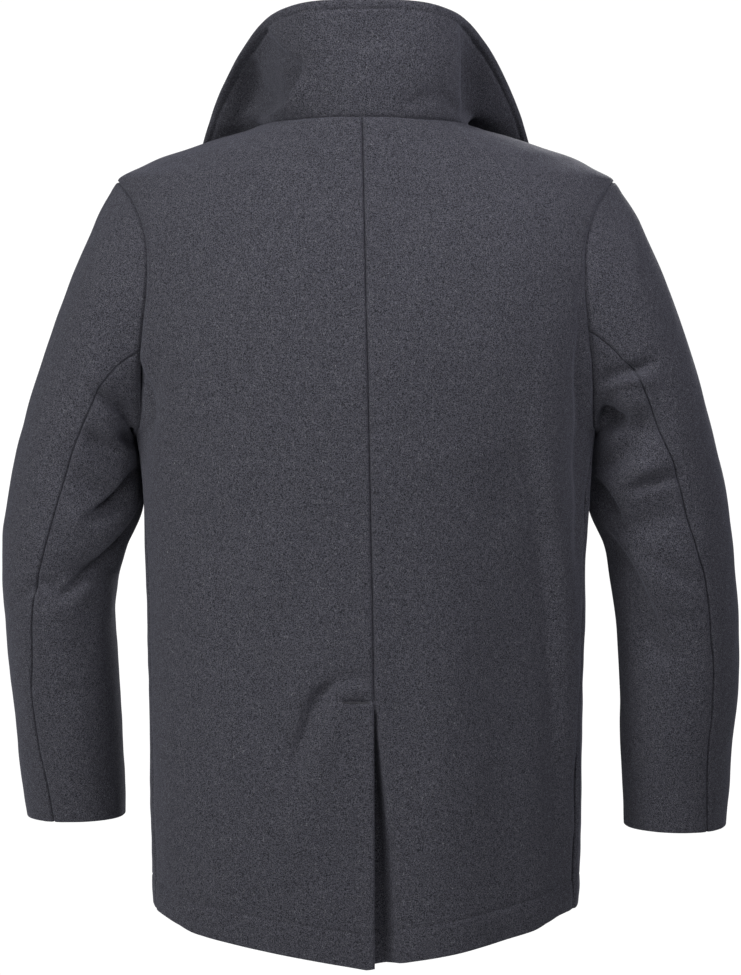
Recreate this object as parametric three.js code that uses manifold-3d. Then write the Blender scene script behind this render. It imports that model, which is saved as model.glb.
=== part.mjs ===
import * as THREE from "three";
import Module from "manifold-3d";
import { mergeVertices } from "three/addons/utils/BufferGeometryUtils.js";

// Sizes are in millimetres. +Z is up, the front faces -Y and the wearer's left is +X.
// The origin is the middle of the neck opening, level with the collar seam at the back.

const CLOTH = 3;
const COLLAR_WALL = 5;
const LAPEL_WALL = 4;
const SEAM_GAP = 0.3;
const HEM_Z = -745;
const HEM_DIP = 28;
const HEM_SIDE_RISE = 10;
const VENT_TOP_Z = -528;
const VENT_FOLD_Z = -546;
const VENT_UNDERLAP = 38;
const ARMHOLE_TOP_Z = -51;
const ARMHOLE_BOTTOM_Z = -286;
const ARMHOLE_STEPS = 12;
const ARMHOLE_BACK = 31;
const ARMHOLE_BACK_LEAN = 0.55;
const ARMHOLE_FRONT = 31;
const ARMHOLE_FRONT_LEAN = 0.22;
const LAP_DROP = 4;
const WOOL = 0x26262b;
const BUTTON = 0x17171a;
const deg = Math.PI / 180;

// Level sections of the body: half width, depth to the back, depth to the front, squareness.
const BODY = [
  { z: -790, half: 202, back: 131, front: 137, square: 2.5 },
  { z: -640, half: 205, back: 128, front: 136, square: 2.5 },
  { z: -500, half: 207, back: 125, front: 134, square: 2.48 },
  { z: -372, half: 210, back: 129, front: 138, square: 2.44 },
  { z: -330, half: 212.5, back: 132, front: 140, square: 2.42 },
  { z: -286, half: 217, back: 134.5, front: 141.5, square: 2.4 },
  { z: -251, half: 223, back: 136, front: 142, square: 2.38 },
  { z: -212, half: 231, back: 136, front: 141, square: 2.36 },
  { z: -170, half: 238, back: 133.5, front: 137, square: 2.34 },
  { z: -130, half: 241, back: 128.5, front: 130, square: 2.3 },
  { z: -89, half: 240, back: 120, front: 119, square: 2.2 },
  { z: -70, half: 238, back: 114.5, front: 112, square: 2.06 },
  { z: -51, half: 234.5, back: 109, front: 104, square: 1.86 },
  { z: -38, half: 211, back: 105, front: 97, square: 1.76 },
  { z: -30, half: 195, back: 102.5, front: 92, square: 1.72 },
  { z: -22, half: 172, back: 99.5, front: 87, square: 1.7 },
  { z: -14, half: 147, back: 97, front: 81, square: 1.74 },
  { z: -6, half: 118, back: 94, front: 75, square: 1.84 },
  { z: 0, half: 98, back: 92, front: 70, square: 2 },
];

// Soft folds of the back: middle, how far in, half width and half height, lean of its line.
const BACK_FOLDS = [
  { x: -72, z: -640, depth: -3.5, wide: 30, tall: 190, lean: 0.03 },
  { x: -132, z: -600, depth: 3.5, wide: 32, tall: 200, lean: 0.03 },
  { x: -196, z: -300, depth: 4.5, wide: 14, tall: 110, lean: 0 },
  { x: 200, z: -262, depth: 4, wide: 13, tall: 60, lean: -0.2 },
  { x: 118, z: -470, depth: 2.5, wide: 26, tall: 120, lean: 0.35 },
  { x: 60, z: -600, depth: 2.5, wide: 24, tall: 90, lean: 0.4 },
];

// The centre back seam leans a little to the wearer's right on its way down.
const CENTRE_BACK = [
  { z: -790, x: -8 },
  { z: -528, x: -7 },
  { z: -250, x: -2 },
  { z: 0, x: 3.6 },
];

// Angle of the side seam, the middle of the armhole and the shoulder seam; 90 is the side.
const SIDE_LINE = [
  { z: -790, angle: 106 },
  { z: -450, angle: 103 },
  { z: -286, angle: 98 },
  { z: -168, angle: 93 },
  { z: -51, angle: 88 },
  { z: 0, angle: 87 },
];

// Free edge of a front: straight up to the break, then along the roll line of the lapel.
const FRONT_EDGE = [
  { z: -790, x: -85 },
  { z: -300, x: -85 },
  { z: -270, x: -83 },
  { z: -250, x: -73 },
  { z: -120, x: 9 },
  { z: 0, x: 86 },
];

// Sleeve stations from shoulder to cuff. The outer and inner edges are seen from behind.
// Fore is how far the station hangs to the front; deep is half its front to back size.
// Seam is the angle of the back seam from the outer edge towards the back.
const SLEEVE_LEFT = [
  { at: 1, outX: 254, outZ: -87, inX: 224, inZ: -293, fore: -3, deep: 80, seam: 113.5 },
  { at: 2, outX: 279, outZ: -144, inX: 223, inZ: -304, fore: -3, deep: 78, seam: 105 },
  { at: 3, outX: 300, outZ: -201, inX: 222, inZ: -318, fore: -3, deep: 74, seam: 98.5 },
  { at: 4, outX: 318, outZ: -254, inX: 221, inZ: -335, fore: -4, deep: 71, seam: 92 },
  { at: 5, outX: 331, outZ: -300, inX: 221, inZ: -356, fore: -6, deep: 68, seam: 87.5 },
  { at: 6, outX: 341, outZ: -350, inX: 224, inZ: -382, fore: -8, deep: 66, seam: 83.5 },
  { at: 7, outX: 347, outZ: -392, inX: 231, inZ: -407, fore: -10, deep: 64, seam: 79.5 },
  { at: 8, outX: 348, outZ: -430, inX: 237, inZ: -432, fore: -13, deep: 62, seam: 73 },
  { at: 9, outX: 346, outZ: -467, inX: 241, inZ: -461, fore: -17, deep: 60, seam: 68.5 },
  { at: 10, outX: 344, outZ: -505, inX: 240, inZ: -495, fore: -22, deep: 58, seam: 64.5 },
  { at: 11, outX: 341, outZ: -543, inX: 238, inZ: -533, fore: -28, deep: 56, seam: 59.5 },
  { at: 12, outX: 338, outZ: -583, inX: 236, inZ: -576, fore: -35, deep: 54, seam: 60 },
  { at: 13, outX: 335, outZ: -623, inX: 235, inZ: -620, fore: -42, deep: 52, seam: 66.5 },
  { at: 14, outX: 330, outZ: -662, inX: 235, inZ: -662, fore: -48, deep: 50, seam: 69.5 },
];
const SLEEVE_RIGHT = [
  { at: 1, outX: 257, outZ: -87, inX: 224, inZ: -293, fore: -3, deep: 80, seam: 107 },
  { at: 2, outX: 283, outZ: -144, inX: 223, inZ: -304, fore: -3, deep: 78, seam: 97.5 },
  { at: 3, outX: 304, outZ: -201, inX: 222, inZ: -318, fore: -3, deep: 74, seam: 91.5 },
  { at: 4, outX: 321, outZ: -254, inX: 221, inZ: -335, fore: -4, deep: 71, seam: 86 },
  { at: 5, outX: 333, outZ: -300, inX: 221, inZ: -356, fore: -6, deep: 68, seam: 79.5 },
  { at: 6, outX: 344, outZ: -350, inX: 224, inZ: -382, fore: -8, deep: 66, seam: 76.5 },
  { at: 7, outX: 350, outZ: -392, inX: 230, inZ: -407, fore: -9, deep: 64, seam: 72 },
  { at: 8, outX: 353, outZ: -430, inX: 234, inZ: -434, fore: -11, deep: 62, seam: 65 },
  { at: 9, outX: 357, outZ: -470, inX: 239, inZ: -467, fore: -14, deep: 60, seam: 64.5 },
  { at: 10, outX: 358, outZ: -510, inX: 242, inZ: -505, fore: -18, deep: 58, seam: 61.5 },
  { at: 11, outX: 357, outZ: -550, inX: 245, inZ: -545, fore: -23, deep: 56, seam: 62 },
  { at: 12, outX: 354, outZ: -590, inX: 246, inZ: -588, fore: -29, deep: 54, seam: 62.5 },
  { at: 13, outX: 352, outZ: -632, inX: 249, inZ: -630, fore: -35, deep: 52, seam: 61 },
  { at: 14, outX: 350, outZ: -671, inX: 251, inZ: -671, fore: -40, deep: 50, seam: 58.5 },
];
const FRONT_SLEEVE_SEAM = 240;

// Folds of a sleeve: station, angle, depth inwards, reach along the sleeve and round it.
const FOLDS_LEFT = [
  { at: 3.6, angle: 118, depth: 7, along: 0.55, round: 34 },
  { at: 5, angle: 125, depth: 8, along: 0.5, round: 34 },
  { at: 6, angle: 110, depth: -4, along: 0.45, round: 30 },
  { at: 7.6, angle: 130, depth: 8, along: 0.55, round: 40 },
  { at: 9, angle: 96, depth: -3, along: 0.7, round: 40 },
];
const FOLDS_RIGHT = [
  { at: 3.4, angle: 118, depth: 8, along: 0.55, round: 34 },
  { at: 4.6, angle: 120, depth: -4, along: 0.45, round: 30 },
  { at: 6, angle: 108, depth: 6, along: 0.45, round: 34 },
  { at: 7.6, angle: 126, depth: -3, along: 0.6, round: 40 },
  { at: 9.4, angle: 110, depth: 4, along: 0.6, round: 40 },
];

// Upturned collar, one side from the centre back to its point: the outer edge, and the plan
// place at half height. Seam is the angle round the neck until it turns on to the lapel.
const COLLAR = [
  { at: 0, edgeX: 0, edgeY: 104, edgeZ: 104.5, midX: 0, midY: 101, midZ: 52, seam: 180 },
  { at: 1, edgeX: 47, edgeY: 98, edgeZ: 103.5, midX: 47, midY: 94, midZ: 52, seam: 152 },
  { at: 2, edgeX: 86, edgeY: 66, edgeZ: 97, midX: 83, midY: 66, midZ: 50, seam: 127 },
  { at: 3, edgeX: 112, edgeY: 26, edgeZ: 76, midX: 92, midY: 30, midZ: 40, seam: 104 },
  { at: 4, edgeX: 133, edgeY: -15, edgeZ: 48, midX: 104, midY: -5, midZ: 26, seam: 84 },
  { at: 5, edgeX: 149, edgeY: -52, edgeZ: 20, midX: 122, midY: -38, midZ: 10, seam: 66 },
  { at: 6, edgeX: 162, edgeY: -86, edgeZ: -14, midX: 136, midY: -72, midZ: -7, seam: 58 },
  { at: 7, edgeX: 175, edgeY: -120, edgeZ: -58, midX: 148, midY: -104, midZ: -36, seam: 58 },
];
const GORGE_START = 5.4;
const GORGE_REACH = 0.42;
const GORGE_LIFT = 7.6;
const GORGE_RISE = 4.5;

// Outer edge of a lapel by height of its row, as a front view place.
const LAPEL_EDGE = [
  { row: 0, x: -64, z: -270 },
  { row: 0.25, x: 10, z: -226 },
  { row: 0.5, x: 72, z: -178 },
  { row: 0.75, x: 126, z: -126 },
  { row: 1, x: 168, z: -72 },
];
const LAPEL_HEAD_Z = 0;
const RIGHT_FOOT_SLANT = 0.14;

// Section across a lapel: reach from the roll edge, and lift of its middle off the front
// where the roll is soft and where it is tight, at the top edge.
const LAPEL_ROLL = [
  { reach: -0.4, soft: -1.5, tight: -1.5, wall: 3 },
  { reach: -1.8, soft: -1.5, tight: -1.5, wall: 3 },
  { reach: -4.6, soft: -0.4, tight: -0.7, wall: 3 },
  { reach: -6.4, soft: 2.2, tight: 1.1, wall: 3 },
  { reach: -6.2, soft: 5.6, tight: 2.8, wall: 3 },
  { reach: -3.6, soft: 8.2, tight: 3.9, wall: 3.2 },
  { reach: 1, soft: 8.9, tight: 4.2, wall: 3.6 },
];
const LAPEL_REST = 3.7;

const BUTTON_ROWS = [-290, -392, -494];
const BUTTON_X = 64;
const BUTTON_RADIUS = 14.5;
const BUTTON_HEIGHT = 4.6;
const BUTTON_RIM = 2.6;
const BUTTON_DISH = 1.3;
const HOLE_RADIUS = 1.5;
const HOLE_OFFSET = 2.9;

const wasm = await Module();
wasm.setup();

// Smooth monotone reading of one named column of a table, by its rising key column.
function read(table, key, column, at) {
  const last = table.length - 1;
  if (at <= table[0][key]) return table[0][column];
  if (at >= table[last][key]) return table[last][column];
  let i = 0;
  while (table[i + 1][key] < at) i += 1;
  const slope = (k) =>
    (table[k + 1][column] - table[k][column]) / (table[k + 1][key] - table[k][key]);
  const lean = (k) => {
    if (k === 0) return slope(0);
    if (k === last) return slope(last - 1);
    const before = slope(k - 1);
    const after = slope(k);
    return before * after <= 0 ? 0 : (2 * before * after) / (before + after);
  };
  const span = table[i + 1][key] - table[i][key];
  const t = (at - table[i][key]) / span;
  const t2 = t * t;
  const t3 = t2 * t;
  return (
    (2 * t3 - 3 * t2 + 1) * table[i][column] +
    (t3 - 2 * t2 + t) * span * lean(i) +
    (3 * t2 - 2 * t3) * table[i + 1][column] +
    (t3 - t2) * span * lean(i + 1)
  );
}

function smooth(from, to, at) {
  const t = Math.min(1, Math.max(0, (at - from) / (to - from)));
  return t * t * (3 - 2 * t);
}

function spread(count, from, to) {
  return Array.from({ length: count + 1 }, (_, i) => from + ((to - from) * i) / count);
}

// The level section of the body at a height.
function section(z) {
  return {
    half: read(BODY, "z", "half", z),
    back: read(BODY, "z", "back", z),
    front: read(BODY, "z", "front", z),
    square: read(BODY, "z", "square", z),
  };
}

// How full the section is at a place: 1 on the cloth, less inside.
function fullness(x, y, z) {
  const s = section(z);
  const depth = y > 0 ? s.back : s.front;
  return (Math.abs(x) / s.half) ** s.square + (Math.abs(y) / depth) ** s.square;
}

function bodyNormal(p) {
  const step = 0.5;
  const rate = (dx, dy, dz) =>
    fullness(p.x + dx, p.y + dy, p.z + dz) - fullness(p.x - dx, p.y - dy, p.z - dz);
  return new THREE.Vector3(rate(step, 0, 0), rate(0, step, 0), rate(0, 0, step)).normalize();
}

// A place on the body cloth: angle 0 is the centre front, 90 the side, 180 the centre back.
function bodyAt(angle, z) {
  const s = section(z);
  const sin = Math.sin(angle * deg);
  const cos = Math.cos(angle * deg);
  const depth = cos < 0 ? s.back : s.front;
  const power = 2 / s.square;
  return new THREE.Vector3(
    s.half * Math.sign(sin) * Math.abs(sin) ** power,
    -depth * Math.sign(cos) * Math.abs(cos) ** power,
    z,
  );
}

// The angle that puts a place at x on the front or the back half of the section.
function angleOfX(x, z, behind) {
  const s = section(z);
  const angle = Math.asin(Math.min(1, Math.abs(x) / s.half) ** (s.square / 2)) / deg;
  const signed = Math.sign(x) * angle;
  return behind ? 180 - signed : signed;
}

// Turn a place to the wearer's right side when side is -1.
function mirrored(p, side) {
  return new THREE.Vector3(p.x * side, p.y, p.z);
}

// A closed wall of cloth. Each grid cell that is in use gets two faces, each cut along its
// shorter diagonal, and a rim at an edge.
function sheet(rows, columns, pointAt, used = () => true, crossed = false) {
  const outer = [];
  const inner = [];
  for (let i = 0; i <= rows; i += 1) {
    for (let j = 0; j <= columns; j += 1) {
      const p = pointAt(i, j);
      outer.push(p.outer);
      inner.push(p.inner);
    }
  }
  const id = (i, j) => i * (columns + 1) + j;
  const count = outer.length;
  const index = [];
  const quad = (a, b, c, d) => index.push(a, b, c, a, c, d);
  const inUse = (i, j) => i >= 0 && j >= 0 && i < rows && j < columns && used(i, j);
  for (let i = 0; i < rows; i += 1) {
    for (let j = 0; j < columns; j += 1) {
      if (!used(i, j)) continue;
      const a = id(i, j);
      const b = id(i, j + 1);
      const c = id(i + 1, j + 1);
      const d = id(i + 1, j);
      if (outer[a].distanceTo(outer[c]) <= outer[b].distanceTo(outer[d])) {
        quad(a, b, c, d);
        quad(a + count, d + count, c + count, b + count);
      } else {
        quad(b, c, d, a);
        quad(d + count, c + count, b + count, a + count);
      }
      if (!inUse(i - 1, j)) quad(b, a, a + count, b + count);
      if (!inUse(i + 1, j)) quad(d, c, c + count, d + count);
      if (!inUse(i, j - 1) && !crossed) quad(a, d, d + count, a + count);
      if (!inUse(i, j - 1) && crossed) quad(d, d + count, a + count, a);
      if (!inUse(i, j + 1)) quad(b, b + count, c + count, c);
    }
  }
  const place = new Float32Array(count * 6);
  [...outer, ...inner].forEach((p, k) => place.set([p.x, p.y, p.z], k * 3));
  const geometry = new THREE.BufferGeometry();
  geometry.setAttribute("position", new THREE.BufferAttribute(place, 3));
  geometry.setIndex(index);
  return facingOut(geometry.toNonIndexed());
}

// Turn the faces round where the wall came out inside out.
function facingOut(geometry) {
  const p = geometry.attributes.position;
  const v = [new THREE.Vector3(), new THREE.Vector3(), new THREE.Vector3()];
  let volume = 0;
  for (let i = 0; i < p.count; i += 3) {
    v.forEach((corner, k) => corner.fromBufferAttribute(p, i + k));
    volume += v[0].dot(v[1].cross(v[2]));
  }
  if (volume < 0) {
    for (let i = 0; i < p.count; i += 3) {
      v[0].fromBufferAttribute(p, i + 1);
      v[1].fromBufferAttribute(p, i + 2);
      p.setXYZ(i + 1, v[1].x, v[1].y, v[1].z);
      p.setXYZ(i + 2, v[0].x, v[0].y, v[0].z);
    }
  }
  geometry.computeVertexNormals();
  return geometry;
}

function named(name, geometry, color = WOOL, roughness = 0.95) {
  const material = new THREE.MeshStandardMaterial({ color, roughness, metalness: 0 });
  const mesh = new THREE.Mesh(geometry, material);
  mesh.name = name;
  return mesh;
}

function armholeZ(turn) {
  const middle = (ARMHOLE_TOP_Z + ARMHOLE_BOTTOM_Z) / 2;
  const rise = (ARMHOLE_TOP_Z - ARMHOLE_BOTTOM_Z) / 2;
  return middle + rise * Math.cos(turn * deg);
}

// Angle of the armhole edge: turn 0 is its top, 90 its back, 180 its foot, 270 its front.
function armholeAngle(turn) {
  const reach = Math.sin(turn * deg);
  const width = reach > 0 ? ARMHOLE_BACK : ARMHOLE_FRONT;
  const lean = reach > 0 ? ARMHOLE_BACK_LEAN : ARMHOLE_FRONT_LEAN;
  const wide = width * reach * (1 + lean * Math.cos(turn * deg));
  return read(SIDE_LINE, "z", "angle", armholeZ(turn)) + wide;
}

function armhole(turn) {
  return bodyAt(armholeAngle(turn), armholeZ(turn));
}

// A place on the regular part of a sleeve, without its folds.
function sleeveRing(table, at, turn) {
  const get = (column) => read(table, "at", column, at);
  const out = new THREE.Vector3(get("outX"), get("fore"), get("outZ"));
  const into = new THREE.Vector3(get("inX"), get("fore"), get("inZ"));
  const middle = out.clone().add(into).multiplyScalar(0.5);
  const half = out.clone().sub(into).multiplyScalar(0.5);
  middle.addScaledVector(half, Math.cos(turn * deg));
  middle.y += get("deep") * Math.sin(turn * deg);
  return middle;
}

// A place on a sleeve: station 0 is the armhole, 1 and on are the stations of the table.
function sleeveBase(table, at, turn) {
  if (at >= 1) return sleeveRing(table, at, turn);
  const start = armhole(turn);
  const end = sleeveRing(table, 1, turn);
  const beyond = sleeveRing(table, 1.5, turn);
  const pull = end.clone().sub(start);
  const leave = beyond.sub(end).multiplyScalar(2).lerp(pull, 0.4);
  const t = at;
  const place = start.clone().multiplyScalar(2 * t ** 3 - 3 * t ** 2 + 1);
  place.addScaledVector(pull, t ** 3 - 2 * t ** 2 + t);
  place.addScaledVector(end, 3 * t ** 2 - 2 * t ** 3);
  place.addScaledVector(leave, t ** 3 - t ** 2);
  return place;
}

function sleeveNormal(table, at, turn) {
  const along = 0.05;
  const round = 1;
  const first = Math.max(0, at - along);
  const last = Math.min(table.length, at + along);
  const down = sleeveBase(table, last, turn).sub(sleeveBase(table, first, turn));
  const across = sleeveBase(table, at, turn + round).sub(sleeveBase(table, at, turn - round));
  return across.cross(down).negate().normalize();
}

function foldDepth(folds, at, turn) {
  return folds.reduce((sum, f) => {
    const far = ((turn - f.angle + 540) % 360) - 180;
    return sum + f.depth * Math.exp(-(((at - f.at) / f.along) ** 2) - (far / f.round) ** 2);
  }, 0);
}

function sleeveAt(table, folds, at, turn) {
  const p = sleeveBase(table, at, turn);
  return p.addScaledVector(sleeveNormal(table, at, turn), -foldDepth(folds, at, turn));
}

// At the armhole both walls share one slanting rim, so that body and sleeve can't cross.
function armholeRim(table, turn) {
  const p = armhole(turn);
  const own = bodyNormal(p);
  const rim = own.clone().add(sleeveNormal(table, 0, turn)).normalize();
  return rim.multiplyScalar(1 / Math.max(0.6, rim.dot(own)));
}

const ARM_TURNS = spread(ARMHOLE_STEPS, 180, 0);

// Heights of the rows of a body panel, from the hem to the neck.
function bodyRows() {
  const skirt = [HEM_Z, -718, -680, -635, -590, -562, VENT_FOLD_Z, VENT_TOP_Z, -490, -450, -411];
  const waist = [-372, -340, -310];
  const arm = ARM_TURNS.map(armholeZ);
  const shoulder = [-44, -37, -30, -22, -14, -6, 0];
  return [...skirt, ...waist, ...arm, ...shoulder];
}

const ROWS = bodyRows();
const ARM_ROW = ROWS.indexOf(armholeZ(180));
const VENT_ROW = ROWS.indexOf(VENT_TOP_Z);
const LAPEL_FOOT_Z = ROWS[ARM_ROW + 3];
const RIGHT_FOOT_Z = ROWS[ARM_ROW + 8];
const RIGHT_FOOT_ROW = (RIGHT_FOOT_Z - LAPEL_FOOT_Z) / (LAPEL_HEAD_Z - LAPEL_FOOT_Z);

// The outer edge of a panel at a row, and which way its wall leans there.
function panelEdge(row, behind, table) {
  const z = ROWS[row];
  const armStep = row - ARM_ROW;
  if (armStep > 0 && armStep < ARMHOLE_STEPS) {
    const turn = behind ? ARM_TURNS[armStep] : 360 - ARM_TURNS[armStep];
    return { point: armhole(turn), wall: armholeRim(table, turn) };
  }
  const angle = read(SIDE_LINE, "z", "angle", z);
  const point = bodyAt(angle, z);
  const along = bodyAt(angle + 0.5, z).sub(bodyAt(angle - 0.5, z)).normalize();
  point.addScaledVector(along, (behind ? 0.5 : -0.5) * SEAM_GAP);
  return { point, wall: bodyNormal(point) };
}

function edgeAngle(row, behind) {
  const z = ROWS[row];
  const armStep = row - ARM_ROW;
  if (armStep <= 0 || armStep >= ARMHOLE_STEPS) return read(SIDE_LINE, "z", "angle", z);
  const turn = behind ? ARM_TURNS[armStep] : 360 - ARM_TURNS[armStep];
  return armholeAngle(turn);
}

// How far in the back lies at a place because of its soft folds.
function backFold(x, z) {
  return BACK_FOLDS.reduce((sum, f) => {
    const across = (x - f.x - f.lean * (z - f.z)) / f.wide;
    const up = (z - f.z) / f.tall;
    return sum + f.depth * Math.exp(-across * across - up ** 4);
  }, 0);
}

// The back hem hangs lower towards the vent, and the whole hem rises a little at the sides.
function hemDrop(p) {
  const low = smooth(-600, HEM_Z, p.z);
  const dip = p.y > 0 ? HEM_DIP * Math.max(0, 1 - Math.abs(p.x) / 172) : 0;
  return low * (dip - HEM_SIDE_RISE * smooth(156, 204, Math.abs(p.x)));
}

// Half a back. Below the vent top the right half goes on under the left as an underlap.
function backPanel(side, table) {
  const columns = 10;
  const extra = side < 0 ? 2 : 0;
  const lapX = [12, VENT_UNDERLAP];
  const pointAt = (i, j) => {
    const z = ROWS[i];
    const seamX = read(CENTRE_BACK, "z", "x", z) * side;
    const start = angleOfX(seamX + 0.5 * SEAM_GAP, z, true);
    let point;
    let wall;
    if (j > columns) {
      point = bodyAt(angleOfX(seamX - lapX[j - columns - 1], z, true), z);
      wall = bodyNormal(point);
    } else if (j === 0) {
      ({ point, wall } = panelEdge(i, true, table));
    } else {
      const angle = edgeAngle(i, true) + ((start - edgeAngle(i, true)) * j) / columns;
      point = bodyAt(angle, z);
      wall = bodyNormal(point);
    }
    const inward = backFold(point.x * side, z) * foldShare(j, columns);
    point.addScaledVector(wall, -inward - (side < 0 ? ventDrop(point, seamX, z) : 0));
    point.z -= hemDrop(point);
    return wallPair(point, wall, side);
  };
  return sheet(ROWS.length - 1, columns + extra, pointAt, (i, j) => j < columns || i < VENT_ROW - 1);
}

// Folds run out at the side seam and at the centre back seam, where two panels must meet.
function foldShare(j, columns) {
  return j === 0 ? 0 : smooth(0, 1, Math.max(0, columns - j) / 2);
}

// How far the right back lies under the left one beside the vent.
function ventDrop(point, seamX, z) {
  const below = smooth(VENT_TOP_Z, VENT_FOLD_Z, z);
  const reach = 12 + 32 * smooth(VENT_TOP_Z, HEM_Z, z);
  const near = smooth(seamX + reach, seamX + 2, point.x);
  return below * near * (LAP_DROP + 4 * smooth(-560, HEM_Z, z));
}

function wallPair(point, wall, side) {
  const inner = point.clone().addScaledVector(wall, -CLOTH);
  return { outer: mirrored(point, side), inner: mirrored(inner, side) };
}

// How far the right front lies under the left one at the overlap.
function frontDrop(point, z) {
  const leftEdge = -read(FRONT_EDGE, "z", "x", z);
  return LAP_DROP * smooth(leftEdge + 44, leftEdge + 4, point.x);
}

// Half a front, from the side seam to its free edge. The left front laps over the right.
function frontPanel(side, table) {
  const columns = 12;
  const pointAt = (i, j) => {
    const z = ROWS[i];
    const edgeX = read(FRONT_EDGE, "z", "x", z);
    const start = edgeAngle(i, false);
    const end = angleOfX(edgeX, z, false);
    let point = bodyAt(start + ((end - start) * j) / columns, z);
    let wall = bodyNormal(point);
    if (j === 0) ({ point, wall } = panelEdge(i, false, table));
    if (side < 0) point.addScaledVector(wall, -frontDrop(point, z));
    point.z -= hemDrop(point);
    return wallPair(point, wall, side);
  };
  return sheet(ROWS.length - 1, columns, pointAt, undefined, true);
}

// One part of a sleeve between two of its lengthwise seams.
function sleevePart(side, table, folds, isTop) {
  const steps = 24;
  const backStep = 7;
  const frontStep = 16;
  const columns = isTop ? steps - frontStep + backStep : frontStep - backStep;
  const stations = [0, 0.3, 0.65, 1, 1.5, 2, 2.5, 3, 3.5, 4, 4.5, 5, 5.5, 6, 6.5, 7, 7.5, 8, 8.6];
  const rings = [...stations, 9.3, 10, 11, 12, 13, 14];
  const pointAt = (i, j) => {
    const at = rings[i];
    const backSeam = at <= 0 ? backStep * 15 : read(table, "at", "seam", Math.max(1, at));
    const settle = smooth(0, 1, at);
    const back = backStep * 15 + (backSeam - backStep * 15) * settle;
    const from = isTop ? FRONT_SLEEVE_SEAM - 360 : back;
    const to = isTop ? back : FRONT_SLEEVE_SEAM;
    const edge = j === 0 ? 1 : j === columns ? -1 : 0;
    const turn = from + ((to - from) * j) / columns;
    const point = sleeveAt(table, folds, at, turn);
    const round = sleeveBase(table, at, turn + 1).sub(sleeveBase(table, at, turn - 1)).normalize();
    point.addScaledVector(round, 0.5 * SEAM_GAP * edge);
    let wall = sleeveNormal(table, at, turn);
    if (i === 0) {
      wall = armholeRim(table, turn);
      const away = sleeveBase(table, 0.3, turn).sub(armhole(turn)).normalize();
      point.addScaledVector(away, SEAM_GAP);
    }
    return wallPair(point, wall, side);
  };
  return sheet(rings.length - 1, columns, pointAt);
}

// A place on the front of the body by its front view place, and lifted off it.
function onFront(x, z, lift) {
  const s = section(z);
  const rest = Math.max(0, 1 - (Math.abs(x) / s.half) ** s.square);
  const point = new THREE.Vector3(x, -s.front * rest ** (1 / s.square), z);
  return point.addScaledVector(bodyNormal(point), lift);
}

function lapelGrid(side, steps, columns) {
  return steps.map((step) =>
    Array.from({ length: columns + 1 }, (_, j) => lapelPlace(side, step, j, columns)),
  );
}

// A place on a turned out lapel: row 0 is its foot and 1 its top edge, share 0 is just past
// the roll and 1 the outer edge. The right lapel starts above where the left front crosses.
function lapelPlace(side, step, j, columns) {
  const rolled = LAPEL_ROLL[j];
  const share = rolled ? 0 : (j - LAPEL_ROLL.length + 1) / (columns - LAPEL_ROLL.length + 1);
  const lowest = side > 0 ? 0 : RIGHT_FOOT_ROW - RIGHT_FOOT_SLANT * share;
  const row = lowest + (1 - lowest) * step;
  const z = LAPEL_FOOT_Z + (LAPEL_HEAD_Z - LAPEL_FOOT_Z) * row;
  const roll = new THREE.Vector2(read(FRONT_EDGE, "z", "x", z), z);
  const edge = new THREE.Vector2(
    read(LAPEL_EDGE, "row", "x", row),
    read(LAPEL_EDGE, "row", "z", row),
  );
  const way = edge.sub(roll);
  const width = way.length();
  way.normalize();
  const reach = rolled ? rolled.reach : 1 + (width - 1) * share;
  const { soft, tight } = rolled ?? LAPEL_ROLL[LAPEL_ROLL.length - 1];
  const high = soft + (tight - soft) * smooth(0.4, 1, row);
  const lift = high + (LAPEL_REST - high) * smooth(0, 0.6, share);
  const wall = rolled ? rolled.wall : LAPEL_WALL;
  return { point: onFront(roll.x + way.x * reach, roll.y + way.y * reach, lift), wall };
}

// Turn a grid of middle places into outer and inner places across its wall.
function thickened(grid, side) {
  const rows = grid.length - 1;
  const columns = grid[0].length - 1;
  return (i, j) => {
    const down = grid[Math.min(rows, i + 1)][j].point
      .clone()
      .sub(grid[Math.max(0, i - 1)][j].point);
    const across = grid[i][Math.min(columns, j + 1)].point
      .clone()
      .sub(grid[i][Math.max(0, j - 1)].point);
    const normal = down.cross(across).normalize();
    const { point, wall } = grid[i][j];
    return {
      outer: mirrored(point.clone().addScaledVector(normal, wall / 2), side),
      inner: mirrored(point.clone().addScaledVector(normal, -wall / 2), side),
    };
  };
}

// Rows of a lapel, at the heights where the front below it has its own rows.
function lapelSteps(side) {
  const foot = side > 0 ? LAPEL_FOOT_Z : RIGHT_FOOT_Z;
  return ROWS.filter((z) => z >= foot).map((z) => (z - foot) / (LAPEL_HEAD_Z - foot));
}

function lapel(side) {
  const columns = LAPEL_ROLL.length + 4;
  const steps = lapelSteps(side);
  return sheet(steps.length - 1, columns, thickened(lapelGrid(side, steps, columns), side));
}

// A place on the collar seam: round the neck, then out along the top edge of the lapel.
function collarSeam(at) {
  if (at <= GORGE_START) {
    const p = bodyAt(read(COLLAR, "at", "seam", at), 0);
    p.z += SEAM_GAP + GORGE_LIFT * smooth(GORGE_RISE, GORGE_START - 0.2, at);
    return p;
  }
  const share = ((at - GORGE_START) / (COLLAR.length - 1 - GORGE_START)) * GORGE_REACH;
  return lapelTop(share).add(new THREE.Vector3(0, -1, 1.5));
}

function lapelTop(share) {
  const roll = new THREE.Vector2(read(FRONT_EDGE, "z", "x", LAPEL_HEAD_Z), LAPEL_HEAD_Z);
  const edge = new THREE.Vector2(
    read(LAPEL_EDGE, "row", "x", 1),
    read(LAPEL_EDGE, "row", "z", 1),
  );
  const place = roll.lerp(edge, share);
  return onFront(place.x, place.y, GORGE_LIFT);
}

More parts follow.
